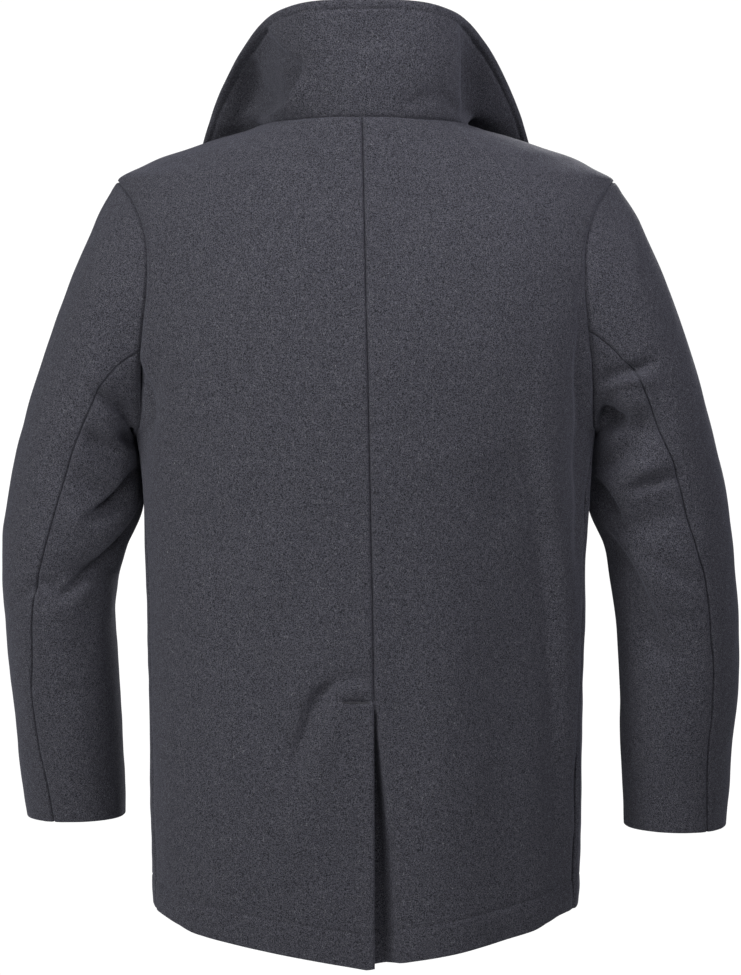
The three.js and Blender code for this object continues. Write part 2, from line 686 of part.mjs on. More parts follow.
function collarAt(at, rise) {
  const seam = collarSeam(at);
  const get = (column) => read(COLLAR, "at", column, at);
  const middle = new THREE.Vector3(get("midX"), get("midY"), get("midZ"));
  const edge = new THREE.Vector3(get("edgeX"), get("edgeY"), get("edgeZ"));
  const point = seam.multiplyScalar((1 - rise) * (1 - 2 * rise));
  point.addScaledVector(middle, 4 * rise * (1 - rise));
  point.addScaledVector(edge, rise * (2 * rise - 1));
  return point;
}

// The collar stands up round the neck and its two wings flare out over the shoulders.
function collar() {
  const half = 15;
  const rows = 7;
  const last = COLLAR.length - 1;
  const pointAt = (i, j) => {
    const rise = i / rows;
    const along = ((j - half) / half) * last;
    const side = along < 0 ? -1 : 1;
    const at = Math.abs(along);
    const point = collarAt(at, rise);
    const up = collarAt(at, Math.min(1, rise + 0.02)).sub(collarAt(at, Math.max(0, rise - 0.02)));
    const before = collarAt(Math.max(0, at - 0.03), rise);
    if (at < 0.03) before.x = -collarAt(0.03, rise).x;
    const round = collarAt(Math.min(last, at + 0.03), rise).sub(before);
    const out = up.cross(round).normalize();
    const inner = point.clone().addScaledVector(out, -COLLAR_WALL);
    return { outer: mirrored(point, side), inner: mirrored(inner, side) };
  };
  return sheet(rows, 2 * half, pointAt);
}

// A plain four-hole button with a raised rim, lying on the left front.
function button(x, z) {
  const profile = [
    [0, 0],
    [BUTTON_RADIUS - 1.5, 0],
    [BUTTON_RADIUS, 1.5],
    [BUTTON_RADIUS, BUTTON_HEIGHT - 1],
    [BUTTON_RADIUS - 1, BUTTON_HEIGHT],
    [BUTTON_RADIUS - BUTTON_RIM, BUTTON_HEIGHT],
    [BUTTON_RADIUS - BUTTON_RIM - 1.5, BUTTON_HEIGHT - BUTTON_DISH],
    [0, BUTTON_HEIGHT - BUTTON_DISH],
  ].map(([r, h]) => new THREE.Vector2(r, h));
  let body = solid(new THREE.LatheGeometry(profile, 18));
  for (const turn of [45, 135, 225, 315]) {
    const hole = new THREE.CylinderGeometry(HOLE_RADIUS, HOLE_RADIUS, 3 * BUTTON_HEIGHT, 6);
    const across = HOLE_OFFSET * Math.cos(turn * deg);
    const up = HOLE_OFFSET * Math.sin(turn * deg);
    hole.translate(across, 0, up);
    body = body.subtract(solid(hole));
  }
  const geometry = fromSolid(body);
  const base = onFront(x, z, SEAM_GAP);
  const out = bodyNormal(onFront(x, z, 0));
  const turn = new THREE.Quaternion().setFromUnitVectors(new THREE.Vector3(0, 1, 0), out);
  return geometry.applyQuaternion(turn).translate(base.x, base.y, base.z);
}

function solid(geometry) {
  geometry.deleteAttribute("normal");
  geometry.deleteAttribute("uv");
  const merged = mergeVertices(geometry, 1e-4);
  const mesh = new wasm.Mesh({
    numProp: 3,
    vertProperties: merged.attributes.position.array,
    triVerts: new Uint32Array(merged.index.array),
  });
  return new wasm.Manifold(mesh);
}

function fromSolid(manifold) {
  const mesh = manifold.getMesh();
  const geometry = new THREE.BufferGeometry();
  geometry.setAttribute("position", new THREE.BufferAttribute(mesh.vertProperties, 3));
  geometry.setIndex(new THREE.BufferAttribute(mesh.triVerts, 1));
  return geometry.toNonIndexed();
}

function coat() {
  const group = new THREE.Group();
  const sides = [
    { word: "left", side: 1, table: SLEEVE_LEFT, folds: FOLDS_LEFT },
    { word: "right", side: -1, table: SLEEVE_RIGHT, folds: FOLDS_RIGHT },
  ];
  for (const { word, side, table, folds } of sides) {
    group.add(named(`back_${word}`, backPanel(side, table)));
    group.add(named(`front_${word}`, frontPanel(side, table)));
    group.add(named(`top_sleeve_${word}`, sleevePart(side, table, folds, true)));
    group.add(named(`under_sleeve_${word}`, sleevePart(side, table, folds, false)));
    group.add(named(`lapel_${word}`, lapel(side)));
  }
  group.add(named("collar", collar()));
  BUTTON_ROWS.forEach((z, row) => {
    group.add(named(`button_left_${row + 1}`, button(BUTTON_X, z), BUTTON, 0.5));
    group.add(named(`button_right_${row + 1}`, button(-BUTTON_X, z), BUTTON, 0.5));
  });
  return group;
}

export default coat();
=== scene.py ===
import math

import bpy
import numpy as np
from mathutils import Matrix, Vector


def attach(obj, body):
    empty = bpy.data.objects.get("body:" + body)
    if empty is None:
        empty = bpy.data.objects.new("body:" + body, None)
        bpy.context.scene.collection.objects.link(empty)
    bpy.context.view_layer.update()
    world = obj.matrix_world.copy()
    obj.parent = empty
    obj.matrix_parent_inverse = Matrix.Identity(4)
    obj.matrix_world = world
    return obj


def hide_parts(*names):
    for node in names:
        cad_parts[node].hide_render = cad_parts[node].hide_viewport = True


# Shapes are worked out in millimetres in the part's own frame and put into Blender in metres.
# +Z is up, the front faces -Y and the wearer's left is +X.

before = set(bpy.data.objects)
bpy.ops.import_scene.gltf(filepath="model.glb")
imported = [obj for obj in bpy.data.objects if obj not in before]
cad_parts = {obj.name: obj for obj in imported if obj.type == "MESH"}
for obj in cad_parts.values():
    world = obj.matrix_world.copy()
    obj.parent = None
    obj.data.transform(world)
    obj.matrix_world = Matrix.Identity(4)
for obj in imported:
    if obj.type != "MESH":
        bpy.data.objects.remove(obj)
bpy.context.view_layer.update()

MM = 0.001
CLOTH = 3.0
COLLAR_WALL = 5.0
LAPEL_WALL = 4.0
# Below 0: the dressed pieces overlap a little at a seam, so that no light comes through.
SEAM_GAP = -0.3
HEM_Z = -745.0
HEM_DIP = 28.0
HEM_SIDE_RISE = 10.0
HEM_TURN = 29.0
HEM_STITCH = 1.1
EDGE_STITCH_IN = 9.0
EDGE_STITCH = 1.3
VENT_TOP_Z = -528.0
VENT_FOLD_Z = -546.0
VENT_UNDERLAP = 38.0
VENT_POCKET = 13.0
# How far the vent's edge is off the seam at its top and how much further at the hem, how deep
# and how wide the cloth sags beside it, and how far the upper edge lifts and swells.
VENT_OFF = 2.0
VENT_OPENS = 9.0
VENT_SAG = 3.2
VENT_SAG_WIDTH = 46.0
VENT_LIFT = 1.6
VENT_SWELL = 0.8
ARMHOLE_TOP_Z = -51.0
ARMHOLE_BOTTOM_Z = -286.0
ARMHOLE_BACK = 31.0
ARMHOLE_BACK_LEAN = 0.55
ARMHOLE_FRONT = 31.0
ARMHOLE_FRONT_LEAN = 0.22
LAP_DROP = 4.0
FRONT_SLEEVE_SEAM = 240.0
ARM_REST_TURN = 182.0
ARM_REST_REACH = 46.0
ARM_REST_SWELL = (7.6, 1.2)
GORGE_START = 5.4
GORGE_REACH = 0.42
GORGE_LIFT = 7.6
GORGE_RISE = 4.5
# How many grid lines each way soften the collar's bends, and the station up to which its foot
# is sewn to the neck.
COLLAR_SOFTEN = 7
COLLAR_SEWN_TO = 4.8
LAPEL_HEAD_Z = 0.0
LEFT_FOOT_TURN = 135.0
RIGHT_FOOT_TURN = 60.0
RIGHT_FOOT_SLANT = 0.14
LAPEL_REST = 3.7
LAPEL_ROUND = 1.6
BUTTON_ROWS = (-290.0, -392.0, -494.0)
BUTTON_X = 64.0
HOLE_SHIFT = 6.0
HOLE_CIRCLE = 2.9
HOLE_DEPTH = 2.6
LEFT_ARM_SEAM = 112.0
RIGHT_ARM_SEAM = 103.0

# Depth and half width of the dip at a seam: at an edge, and pressed flat between two panels.
EDGE_SEAM = (1.7, 2.3)
FLAT_SEAM = (2.6, 1.05)
ARMHOLE_SEAM = (2.6, 1.6)
COLLAR_SEAM = (1.2, 2.2)
# How far from an armhole the cloth's wall leans the way of the rim.
RIM_REACH = 5.0
# Added to a distance, it is so long that no edge is rounded there.
NO_EDGE = 60.0

# The grids of the pieces: rough width and step, and the steps near an edge and beside stitches.
BACK_GRID = (235, 3.4)
FRONT_GRID = (270, 4.0)
TOP_SLEEVE_GRID = (285, 3.0)
UNDER_SLEEVE_GRID = (165, 2.6)
LAPEL_GRID = (150, 4.6)
LAPEL_LONG_GRID = (250, 4.4)
COLLAR_RISE_GRID = (105, 2.6)
COLLAR_LONG_GRID = (560, 2.9)
EDGE_STEPS = np.array([0, 0.25, 0.7, 1.3, 2.0, 3.0, 4.4, 6.4])
STITCH_STEPS = np.array([-2.4, -1.5, -0.8, 0, 0.8, 1.5, 2.4])

# Height and length of the cloth's gentle unevenness, in millimetres.
CLOTH_WAVES = ((0.45, 95), (0.16, 31))
LAPEL_WAVES = (0.3, 80)
COLLAR_WAVES = ((0.5, 70), (0.15, 26))

# First random seed of each kind of piece.
SEEDS = {"back": 11, "front": 23, "sleeve": 31, "lapel": 41, "collar": 51}

# Where the picture was taken from: distance behind the coat, and height.
EYE_Y = 2300.0
EYE_Z = -239.0


def table(columns, *rows):
    return {name: np.array(values, float) for name, values in zip(columns.split(), zip(*rows))}


# Level sections of the body: half width, depth to the back, depth to the front, squareness.
BODY = table(
    "z half back front square",
    (-790, 202, 131, 137, 2.5),
    (-640, 205, 128, 136, 2.5),
    (-500, 207, 125, 134, 2.48),
    (-372, 210, 129, 138, 2.44),
    (-330, 212.5, 132, 140, 2.42),
    (-286, 217, 134.5, 141.5, 2.4),
    (-251, 223, 136, 142, 2.38),
    (-212, 231, 136, 141, 2.36),
    (-170, 238, 133.5, 137, 2.34),
    (-130, 241, 128.5, 130, 2.3),
    (-89, 240, 120, 119, 2.2),
    (-70, 238, 114.5, 112, 2.06),
    (-51, 234.5, 109, 104, 1.86),
    (-38, 211, 105, 97, 1.76),
    (-30, 195, 102.5, 92, 1.72),
    (-22, 172, 99.5, 87, 1.7),
    (-14, 147, 97, 81, 1.74),
    (-6, 118, 94, 75, 1.84),
    (0, 98, 92, 70, 2),
)

# Soft folds of the back: middle, how far in (a swell is below 0), half width and half height,
# and the lean of its line.
BACK_FOLDS = (
    (-72, -640, -3.5, 30, 190, 0.03),
    (-132, -600, 3.5, 32, 200, 0.03),
    (-196, -300, 4.5, 14, 110, 0),
    (200, -262, 4, 13, 60, -0.2),
    (118, -470, 2.5, 26, 120, 0.35),
    (60, -600, 2.5, 24, 90, 0.4),
)

# The centre back seam, the side seam's angle round the body, and the left front's edge.
CENTRE_BACK = table("z x", (-790, -8), (-528, -7), (-250, -2), (0, 3.6))
SIDE_LINE = table("z angle", (-790, 106), (-450, 103), (-286, 98), (-168, 93), (-51, 88), (0, 87))
FRONT_EDGE = table("z x", (-790, -85), (-300, -85), (-270, -83), (-250, -73), (-120, 9), (0, 86))

# Sleeve stations from shoulder to cuff: the outer and the inner edge seen from behind, how far
# back the ring's middle lies, its half depth, and the angle of the back seam.
SLEEVE_LEFT = table(
    "at outX outZ inX inZ fore deep seam",
    (1, 254, -87, 224, -293, -3, 80, 113.5),
    (2, 279, -144, 223, -304, -3, 78, 105),
    (3, 300, -201, 222, -318, -3, 74, 98.5),
    (4, 318, -254, 221, -335, -4, 71, 92),
    (5, 331, -300, 221, -356, -6, 68, 87.5),
    (6, 341, -350, 224, -382, -8, 66, 83.5),
    (7, 347, -392, 231, -407, -10, 64, 79.5),
    (8, 348, -430, 237, -432, -13, 62, 73),
    (9, 346, -467, 241, -461, -17, 60, 68.5),
    (10, 344, -505, 240, -495, -22, 58, 64.5),
    (11, 341, -543, 238, -533, -28, 56, 59.5),
    (12, 338, -583, 236, -576, -35, 54, 60),
    (13, 335, -623, 235, -620, -42, 52, 66.5),
    (14, 330, -662, 235, -662, -48, 50, 69.5),
)
SLEEVE_RIGHT = table(
    "at outX outZ inX inZ fore deep seam",
    (1, 257, -87, 224, -293, -3, 80, 107),
    (2, 283, -144, 223, -304, -3, 78, 97.5),
    (3, 304, -201, 222, -318, -3, 74, 91.5),
    (4, 321, -254, 221, -335, -4, 71, 86),
    (5, 333, -300, 221, -356, -6, 68, 79.5),
    (6, 344, -350, 224, -382, -8, 66, 76.5),
    (7, 350, -392, 230, -407, -9, 64, 72),
    (8, 353, -430, 234, -434, -11, 62, 65),
    (9, 357, -470, 239, -467, -14, 60, 64.5),
    (10, 358, -510, 242, -505, -18, 58, 61.5),
    (11, 357, -550, 245, -545, -23, 56, 62),
    (12, 354, -590, 246, -588, -29, 54, 62.5),
    (13, 352, -632, 249, -630, -35, 52, 61),
    (14, 350, -671, 251, -671, -40, 50, 58.5),
)

# Folds of a sleeve: station, angle, depth inwards, reach along the sleeve and round it.
FOLDS_LEFT = (
    (3.6, 118, 7, 0.55, 34),
    (5, 125, 8, 0.5, 34),
    (6, 110, -4, 0.45, 30),
    (7.6, 130, 8, 0.55, 40),
    (9, 96, -3, 0.7, 40),
)
FOLDS_RIGHT = (
    (3.4, 118, 8, 0.55, 34),
    (4.6, 120, -4, 0.45, 30),
    (6, 108, 6, 0.45, 34),
    (7.6, 126, -3, 0.6, 40),
    (9.4, 110, 4, 0.6, 40),
)

# The collar from the centre back to the wing's corner: its edge, the places half-way up, and
# the angle round the body of its seam.
COLLAR = table(
    "at edgeX edgeY edgeZ midX midY midZ seam",
    (0, 0, 104, 104.5, 0, 101, 52, 180),
    (1, 47, 98, 103.5, 47, 94, 52, 152),
    (2, 86, 66, 97, 83, 66, 50, 127),
    (3, 112, 26, 76, 92, 30, 40, 104),
    (4, 133, -15, 48, 104, -5, 26, 84),
    (5, 149, -52, 20, 122, -38, 10, 66),
    (6, 162, -86, -14, 136, -72, -7, 58),
    (7, 175, -120, -58, 148, -104, -36, 58),
)
LAPEL_EDGE = table(
    "row x z",
    (0, -64, -270),
    (0.25, 10, -226),
    (0.5, 72, -178),
    (0.75, 126, -126),
    (1, 168, -72),
)
# Round the lapel's roll: how far out, how high at its soft foot and its tight head, and its wall.
LAPEL_ROLL = table(
    "at reach soft tight wall",
    (0, -0.4, -1.5, -1.5, 3),
    (1, -1.8, -1.5, -1.5, 3),
    (2, -4.6, -0.4, -0.7, 3),
    (3, -6.4, 2.2, 1.1, 3),
    (4, -6.2, 5.6, 2.8, 3),
    (5, -3.6, 8.2, 3.9, 3.2),
    (6, 1, 8.9, 4.2, 3.6),
)

# Creases as the picture's eye sees them, on the plane through the neck: a bent line from a
# to b by way of m, its depth in (a ridge is below 0), and its half width on its left and its
# right as one goes along it in the picture.
CREASE_COLUMNS = "ax az mx mz bx bz depth left right"
BACK_CREASES = (
    (188, -116, 158, -192, 176, -277, 1.4, 22, 26),
    (99, -192, 124, -258, 167, -372, 1.8, 18, 26),
    (63, -277, 99, -353, 127, -448, 1.8, 20, 22),
    (29, -353, 63, -429, 89, -524, 2.0, 18, 22),
    (217, -222, 210, -250, 205, -290, 7.0, 3.0, 10),
    (-203, -150, -207, -277, -205, -415, 5.0, 8, 4),
    (-150, -290, -182, -490, -188, -760, 17.0, 12, 98),
    (30, -536, 52, -552, 68, -602, 8.0, 12, 5),
    (48, -548, 24, -526, -4, -527, 3.4, 9, 4),
    (40, -546, 22, -536, -2, -536, -2.4, 4, 6),
    (22, -546, 8, -546.5, -5, -546, 2.2, 1.6, 1.6),
    (-22, -546, -42, -574, -54, -622, 3.4, 14, 9),
    (20, -560, 44, -594, 60, -650, -2.0, 16, 12),
    (120, -60, 70, -70, 20, -62, 1.4, 12, 9),
    (-30, -66, -90, -76, -130, -64, 1.2, 14, 10),
)
LEFT_ARM_CREASES = (
    (256, -248, 240, -262, 213, -276, 7.5, 6, 10),
    (250, -262, 231, -276, 214, -288, -3.0, 5, 5),
    (264, -289, 247, -300, 226, -310, 5.0, 5, 9),
    (228, -293, 216, -297, 202, -300, 15.0, 9, 6),
    (203, -308, 229, -340, 260, -368, 13.0, 14, 4),
    (214, -301, 236, -333, 262, -362, -3.0, 3.5, 12),
    (204, -344, 228, -384, 259, -420, 10.0, 11, 3.5),
    (262, -414, 282, -438, 290, -446, 7.0, 9, 4),
    (210, -334, 232, -377, 262, -410, -3.0, 3.5, 14),
    (290, -446, 306, -435, 331, -448, 4.5, 4, 7),
    (257, -426, 277, -446, 298, -462, -3.5, 8, 8),
    (298, -534, 285, -539, 266, -537, 2.2, 8, 8),
    (246, -432, 252, -480, 262, -524, -2.2, 10, 10),
    (284, -240, 290, -280, 300, -330, 1.4, 14, 14),
)
RIGHT_ARM_CREASES = (
    (-272, -222, -249, -231, -218, -246, 7.5, 4.5, 8),
    (-270, -240, -240, -240, -219, -256, -4.5, 6, 6),
    (-214, -272, -228, -274, -246, -284, 15.0, 8, 11),
    (-236, -276, -262, -282, -278, -300, 4.5, 12, 12),
    (-246, -342, -268, -340, -293, -331, 5.5, 9, 4.5),
    (-256, -322, -272, -324, -288, -318, -2.5, 8, 8),
    (-214, -332, -228, -351, -240, -372, 11.0, 4, 16),
    (-226, -386, -256, -430, -281, -490, 9.0, 4, 20),
    (-268, -408, -294, -423, -317, -433, 3.6, 8, 8),
    (-285, -458, -298, -466, -314, -467, 2.2, 8, 8),
    (-274, -497, -289, -502, -304, -502, 2.0, 9, 9),
)
COLLAR_CREASES = (
    (60, 52, 72, 30, 95, 8, -4.5, 16, 2.2),
    (64, 54, 77, 32, 101, 8, 12.0, 2.6, 20),
    (101, 96, 84, 71, 63, 52, 6.0, 4, 18),
    (106, 64, 115, 30, 123, -4, 13.0, 15, 15),
    (-73, 37, -59, 27, -38, 23, 2.6, 10, 5),
    (-36, 98, -4, 82, 44, 60, 2.0, 12, 16),
    (-88, 78, -89, 38, -89, 2, -3.0, 2.2, 14),
    (-92, 84, -93, 42, -94, -2, 9.0, 19, 2.6),
    (-72, 32, -82, 19, -91, 4, 3.6, 5, 7),
)
# The same on the hidden front and, given for the left one, on the sleeves' fronts, as seen from
# straight ahead.
FRONT_CREASES = (
    (-208, -236, -196, -290, -204, -350, 5.0, 7, 12),
    (208, -236, 198, -286, 204, -340, 5.0, 12, 7),
    (180, -120, 150, -190, 160, -280, 1.6, 20, 24),
    (-180, -120, -156, -190, -166, -280, 1.6, 24, 20),
    (60, -500, 96, -580, 110, -690, 1.6, 22, 26),
    (-120, -420, -140, -540, -132, -690, 2.0, 22, 22),
    (10, -330, 40, -380, 52, -450, 1.2, 16, 18),
)
FRONT_ARM_CREASES = (
    (226, -300, 252, -318, 276, -314, 4.0, 8, 8),
    (226, -340, 250, -362, 284, -366, 5.0, 9, 6),
    (330, -404, 296, -420, 250, -430, 6.0, 9, 6),
    (332, -440, 300, -452, 262, -466, 3.6, 8, 8),
    (330, -520, 300, -530, 262, -528, 2.4, 12, 9),
    (326, -596, 300, -602, 268, -598, 1.6, 12, 12),
)


def read(source, column, at):
    """Smooth monotone reading of one column of a table, by its first column, which rises."""
    xs, ys = next(iter(source.values())), source[column]
    at = np.clip(np.asarray(at, float), xs[0], xs[-1])
    i = np.clip(np.searchsorted(xs, at, side="left") - 1, 0, len(xs) - 2)
    slope = np.diff(ys) / np.diff(xs)
    before, after = slope[:-1], slope[1:]
    total = np.where(before + after == 0, 1, before + after)
    lean = np.where(before * after <= 0, 0, 2 * before * after / total)
    lean = np.concatenate([slope[:1], lean, slope[-1:]])
    span = xs[i + 1] - xs[i]
    t = (at - xs[i]) / span
    t2, t3 = t * t, t * t * t
    return (
        (2 * t3 - 3 * t2 + 1) * ys[i]
        + (t3 - 2 * t2 + t) * span * lean[i]
        + (3 * t2 - 2 * t3) * ys[i + 1]
        + (t3 - t2) * span * lean[i + 1]
    )


def smooth(start, end, at):
    """Rises from 0 at the start to 1 at the end, with level ends."""
    t = np.clip((at - start) / (end - start), 0, 1)
    return t * t * (3 - 2 * t)


def unit(v):
    return v / np.maximum(np.linalg.norm(v, axis=-1, keepdims=True), 1e-9)


def points(x, y, z):
    return np.stack(np.broadcast_arrays(x, y, z), -1).astype(float)


def section(z):
    """The body's half width, depths and squareness at a height."""
    return [read(BODY, column, z) for column in ("half", "back", "front", "square")]


def fullness(p):
    """Below 1 inside the body's form, 1 on it and above 1 outside."""
    half, back, front, square = section(p[..., 2])
    depth = np.where(p[..., 1] > 0, back, front)
    return (np.abs(p[..., 0]) / half) ** square + (np.abs(p[..., 1]) / depth) ** square


def body_normal(p):
    rates = [fullness(p + step) - fullness(p - step) for step in 0.5 * np.eye(3)]
    return unit(np.stack(rates, -1))


def body_at(angle, z):
    """A place on the body cloth: angle 0 is the centre front, 90 the side, 180 the centre back."""
    half, back, front, square = section(z)
    sin, cos = np.sin(np.radians(angle)), np.cos(np.radians(angle))
    depth = np.where(cos < 0, back, front)
    power = 2 / square
    x = half * np.sign(sin) * np.abs(sin) ** power
    return points(x, -depth * np.sign(cos) * np.abs(cos) ** power, z)


def angle_of_x(x, z, behind):
    half, _, _, square = section(z)
    angle = np.degrees(np.arcsin(np.minimum(1, np.abs(x) / half) ** (square / 2))) * np.sign(x)
    return 180 - angle if behind else angle


def armhole_z(turn):
    """Height of a place on the armhole: turn 0 is its top, 90 its back, 180 its foot."""
    middle = (ARMHOLE_TOP_Z + ARMHOLE_BOTTOM_Z) / 2
    rise = (ARMHOLE_TOP_Z - ARMHOLE_BOTTOM_Z) / 2
    return middle + rise * np.cos(np.radians(turn))


def armhole_angle(turn):
    reach = np.sin(np.radians(turn))
    width = np.where(reach > 0, ARMHOLE_BACK, ARMHOLE_FRONT)
    lean = np.where(reach > 0, ARMHOLE_BACK_LEAN, ARMHOLE_FRONT_LEAN)
    wide = width * reach * (1 + lean * np.cos(np.radians(turn)))
    return read(SIDE_LINE, "angle", armhole_z(turn)) + wide


def armhole(turn):
    return body_at(armhole_angle(turn), armhole_z(turn))


def sleeve_ring(source, at, turn):
    def get(column):
        return read(source, column, at)

    outer = points(get("outX"), get("fore"), get("outZ"))
    into = points(get("inX"), get("fore"), get("inZ"))
    turn = np.radians(turn)
    place = (outer + into) / 2 + (outer - into) / 2 * np.cos(turn)[..., None]
    place[..., 1] += get("deep") * np.sin(turn)
    return place


def sleeve_base(source, at, turn):
    """A place on a sleeve: station 0 is the armhole, 1 and on are the stations of the table."""
    at, turn = np.broadcast_arrays(np.asarray(at, float), np.asarray(turn, float))
    place = sleeve_ring(source, np.maximum(at, 1), turn)
    start = armhole(turn % 360)
    end = sleeve_ring(source, np.ones_like(at), turn)
    beyond = sleeve_ring(source, np.full_like(at, 1.5), turn)
    pull = end - start
    leave = (beyond - end) * 2 * 0.6 + pull * 0.4
    t = np.clip(at, -0.05, 1)[..., None]
    near = start * (2 * t**3 - 3 * t**2 + 1) + pull * (t**3 - 2 * t**2 + t)
    near = near + end * (3 * t**2 - 2 * t**3) + leave * (t**3 - t**2)
    return np.where(at[..., None] >= 1, place, near)


def sleeve_normal(source, at, turn):
    last = len(source["at"])
    down = sleeve_base(source, np.minimum(last, at + 0.05), turn)
    down = down - sleeve_base(source, np.maximum(0, at - 0.05), turn)
    across = sleeve_base(source, at, turn + 1) - sleeve_base(source, at, turn - 1)
    return unit(-np.cross(across, down))


def armhole_rim(source, turn):
    """Which way the slanting rim at the armhole leans, shared by the body and the sleeve."""
    own = body_normal(armhole(turn % 360))
    rim = unit(own + sleeve_normal(source, np.zeros_like(turn), turn))
    return rim / np.maximum(0.6, np.sum(rim * own, -1, keepdims=True))


def fold_depth(folds, at, turn):
    total = 0
    for fold_at, angle, depth, along, around in folds:
        far = (turn - angle + 540) % 360 - 180
        total = total + depth * np.exp(-(((at - fold_at) / along) ** 2) - (far / around) ** 2)
    return total


def arm_rest(at, turn):
    """The inside of a sleeve swells out under the armhole until it lies against the body."""
    far = (turn - ARM_REST_TURN + 540) % 360 - 180
    low, more = ARM_REST_SWELL
    tall = smooth(0.05, 0.9, at) * smooth(6.6, 4.9, at) * (low + more * smooth(3, 5, at))
    return -tall * np.exp(-((far / ARM_REST_REACH) ** 2))


def ripple(p, height, length, seed):
    """Gentle unevenness, from a few waves of about one length in random directions."""
    rng = np.random.default_rng(seed)
    total = 0
    waves = 9
    for _ in range(waves):
        way = unit(rng.normal(size=3))
        turns = 2 * math.pi * rng.uniform(0.7, 1.6) / length
        total = total + np.sin(p @ way * turns + rng.uniform(0, 2 * math.pi))
    return height * (total / math.sqrt(waves))


def seen_from_behind(p):
    grow = EYE_Y / (EYE_Y - p[..., 1])
    return np.stack([p[..., 0] * grow, EYE_Z + (p[..., 2] - EYE_Z) * grow], -1)


def seen_from_ahead(p):
    return np.stack([p[..., 0], p[..., 2]], -1)


def crease_depth(seen, creases):
    """How far in the cloth lies because of a group of creases, at places on the seen plane."""
    steps = np.linspace(0, 1, 25)[:, None]
    total = np.zeros(seen.shape[:-1])
    for number, crease in enumerate(creases):
        c = dict(zip(CREASE_COLUMNS.split(), crease))
        a, m, b = (np.array([c[k + "x"], c[k + "z"]], float) for k in "amb")
        guide = 2 * m - (a + b) / 2
        line = (1 - steps) ** 2 * a + 2 * (steps * (1 - steps)) * guide + steps**2 * b
        reach = 4 * max(c["left"], c["right"])
        low, high = line.min(0) - reach, line.max(0) + reach
        near = np.all((seen > low) & (seen < high), -1)
        if not near.any():
            continue
        q = seen[near]
        q = q + (np.sin(q[:, :1] / 11 + number) + np.sin(q[:, 1:] / 13 + 2 * number))
        best = np.full(len(q), 1e9)
        value = np.zeros(len(q))
        for k in range(len(steps) - 1):
            p0, way = line[k], line[k + 1] - line[k]
            t = np.clip(((q - p0) @ way) / (way @ way), 0, 1)
            gap = q - p0 - t[:, None] * way
            far = np.linalg.norm(gap, axis=1)
            side = way[0] * gap[:, 1] - way[1] * gap[:, 0]
            share = 0.5 + 0.5 * side / (np.linalg.norm(way) * np.maximum(far, 1e-6))
            width = c["left"] + (c["right"] - c["left"]) * share
            along = (k + t) / (len(steps) - 1)
            taper = 0.25 + 0.75 * np.sin(math.pi * np.clip(along, 0.02, 0.98)) ** 0.6
            closer = far < best
            best = np.where(closer, far, best)
            value = np.where(closer, taper * np.exp(-((far / width) ** 2)), value)
        total[near] += c["depth"] * value
    return total


def grid_normals(p):
    return unit(np.cross(np.gradient(p, axis=0), np.gradient(p, axis=1)))


def edge_distances(p):
    """Distances along the cloth from the first and last column and the first and last row."""
    across = np.linalg.norm(np.diff(p, axis=1), axis=-1)
    along = np.linalg.norm(np.diff(p, axis=0), axis=-1)
    left = np.concatenate([np.zeros((p.shape[0], 1)), np.cumsum(across, 1)], 1)
    top = np.concatenate([np.zeros((1, p.shape[1])), np.cumsum(along, 0)], 0)
    return {"left": left, "right": left[:, -1:] - left, "first": top, "last": top[-1:] - top}


def seam_dip(far, depth, reach):
    """At a seam the cloth rolls in; a little further off the pressed allowance stands proud."""
    return depth * np.exp(-((far / reach) ** 2)) - 0.35 * np.exp(-(((far - 8) / 4.5) ** 2))


def fold_round(far, half):
    """How far a wall's face draws in at a rounded edge: a quarter round of half the wall."""
    t = np.clip(far / half, 0, 1)
    return half * (1 - np.sqrt(np.maximum(0, 1 - (1 - t) ** 2)))


def stitch_dip(far, place, along, depth):
    """A row of machine stitches: a pulled-in line with a small dimple at each stitch."""
    pull = np.exp(-(((far - place) / 1.5) ** 2))
    puff = np.exp(-(((far - place / 2) / (place / 3.2)) ** 2))
    return depth * pull * (0.8 + 0.2 * np.sin(along * 2 * math.pi / 3.2)) - 0.5 * depth * puff


def edge_stitch(far, along):
    return stitch_dip(far, EDGE_STITCH_IN, along, EDGE_STITCH)


def spacing(width, step, stitched=False):
    """Shares from 0 to 1 across a width, closer together near both edges and their stitches."""
    near = EDGE_STEPS
    if stitched:
        near = np.concatenate([near, EDGE_STITCH_IN + STITCH_STEPS])
    both = np.concatenate([near, width - near])
    middle = np.arange(EDGE_STEPS[-1] + step, width - EDGE_STEPS[-1], step)
    keep = np.min(np.abs(middle[:, None] - both[None, :]), axis=1) > 0.45 * step
    return np.unique(np.round(np.concatenate([both, middle[keep]]), 4)) / width


def new_piece(name, places, faces):
    """A smooth object of the scene, from places in millimetres."""
    mesh = bpy.data.meshes.new(name)
    mesh.from_pydata((places * MM).tolist(), [], faces)
    mesh.polygons.foreach_set("use_smooth", [True] * len(mesh.polygons))
    mesh.update()
    piece = bpy.data.objects.new(name, mesh)
    bpy.context.scene.collection.objects.link(piece)
    return piece


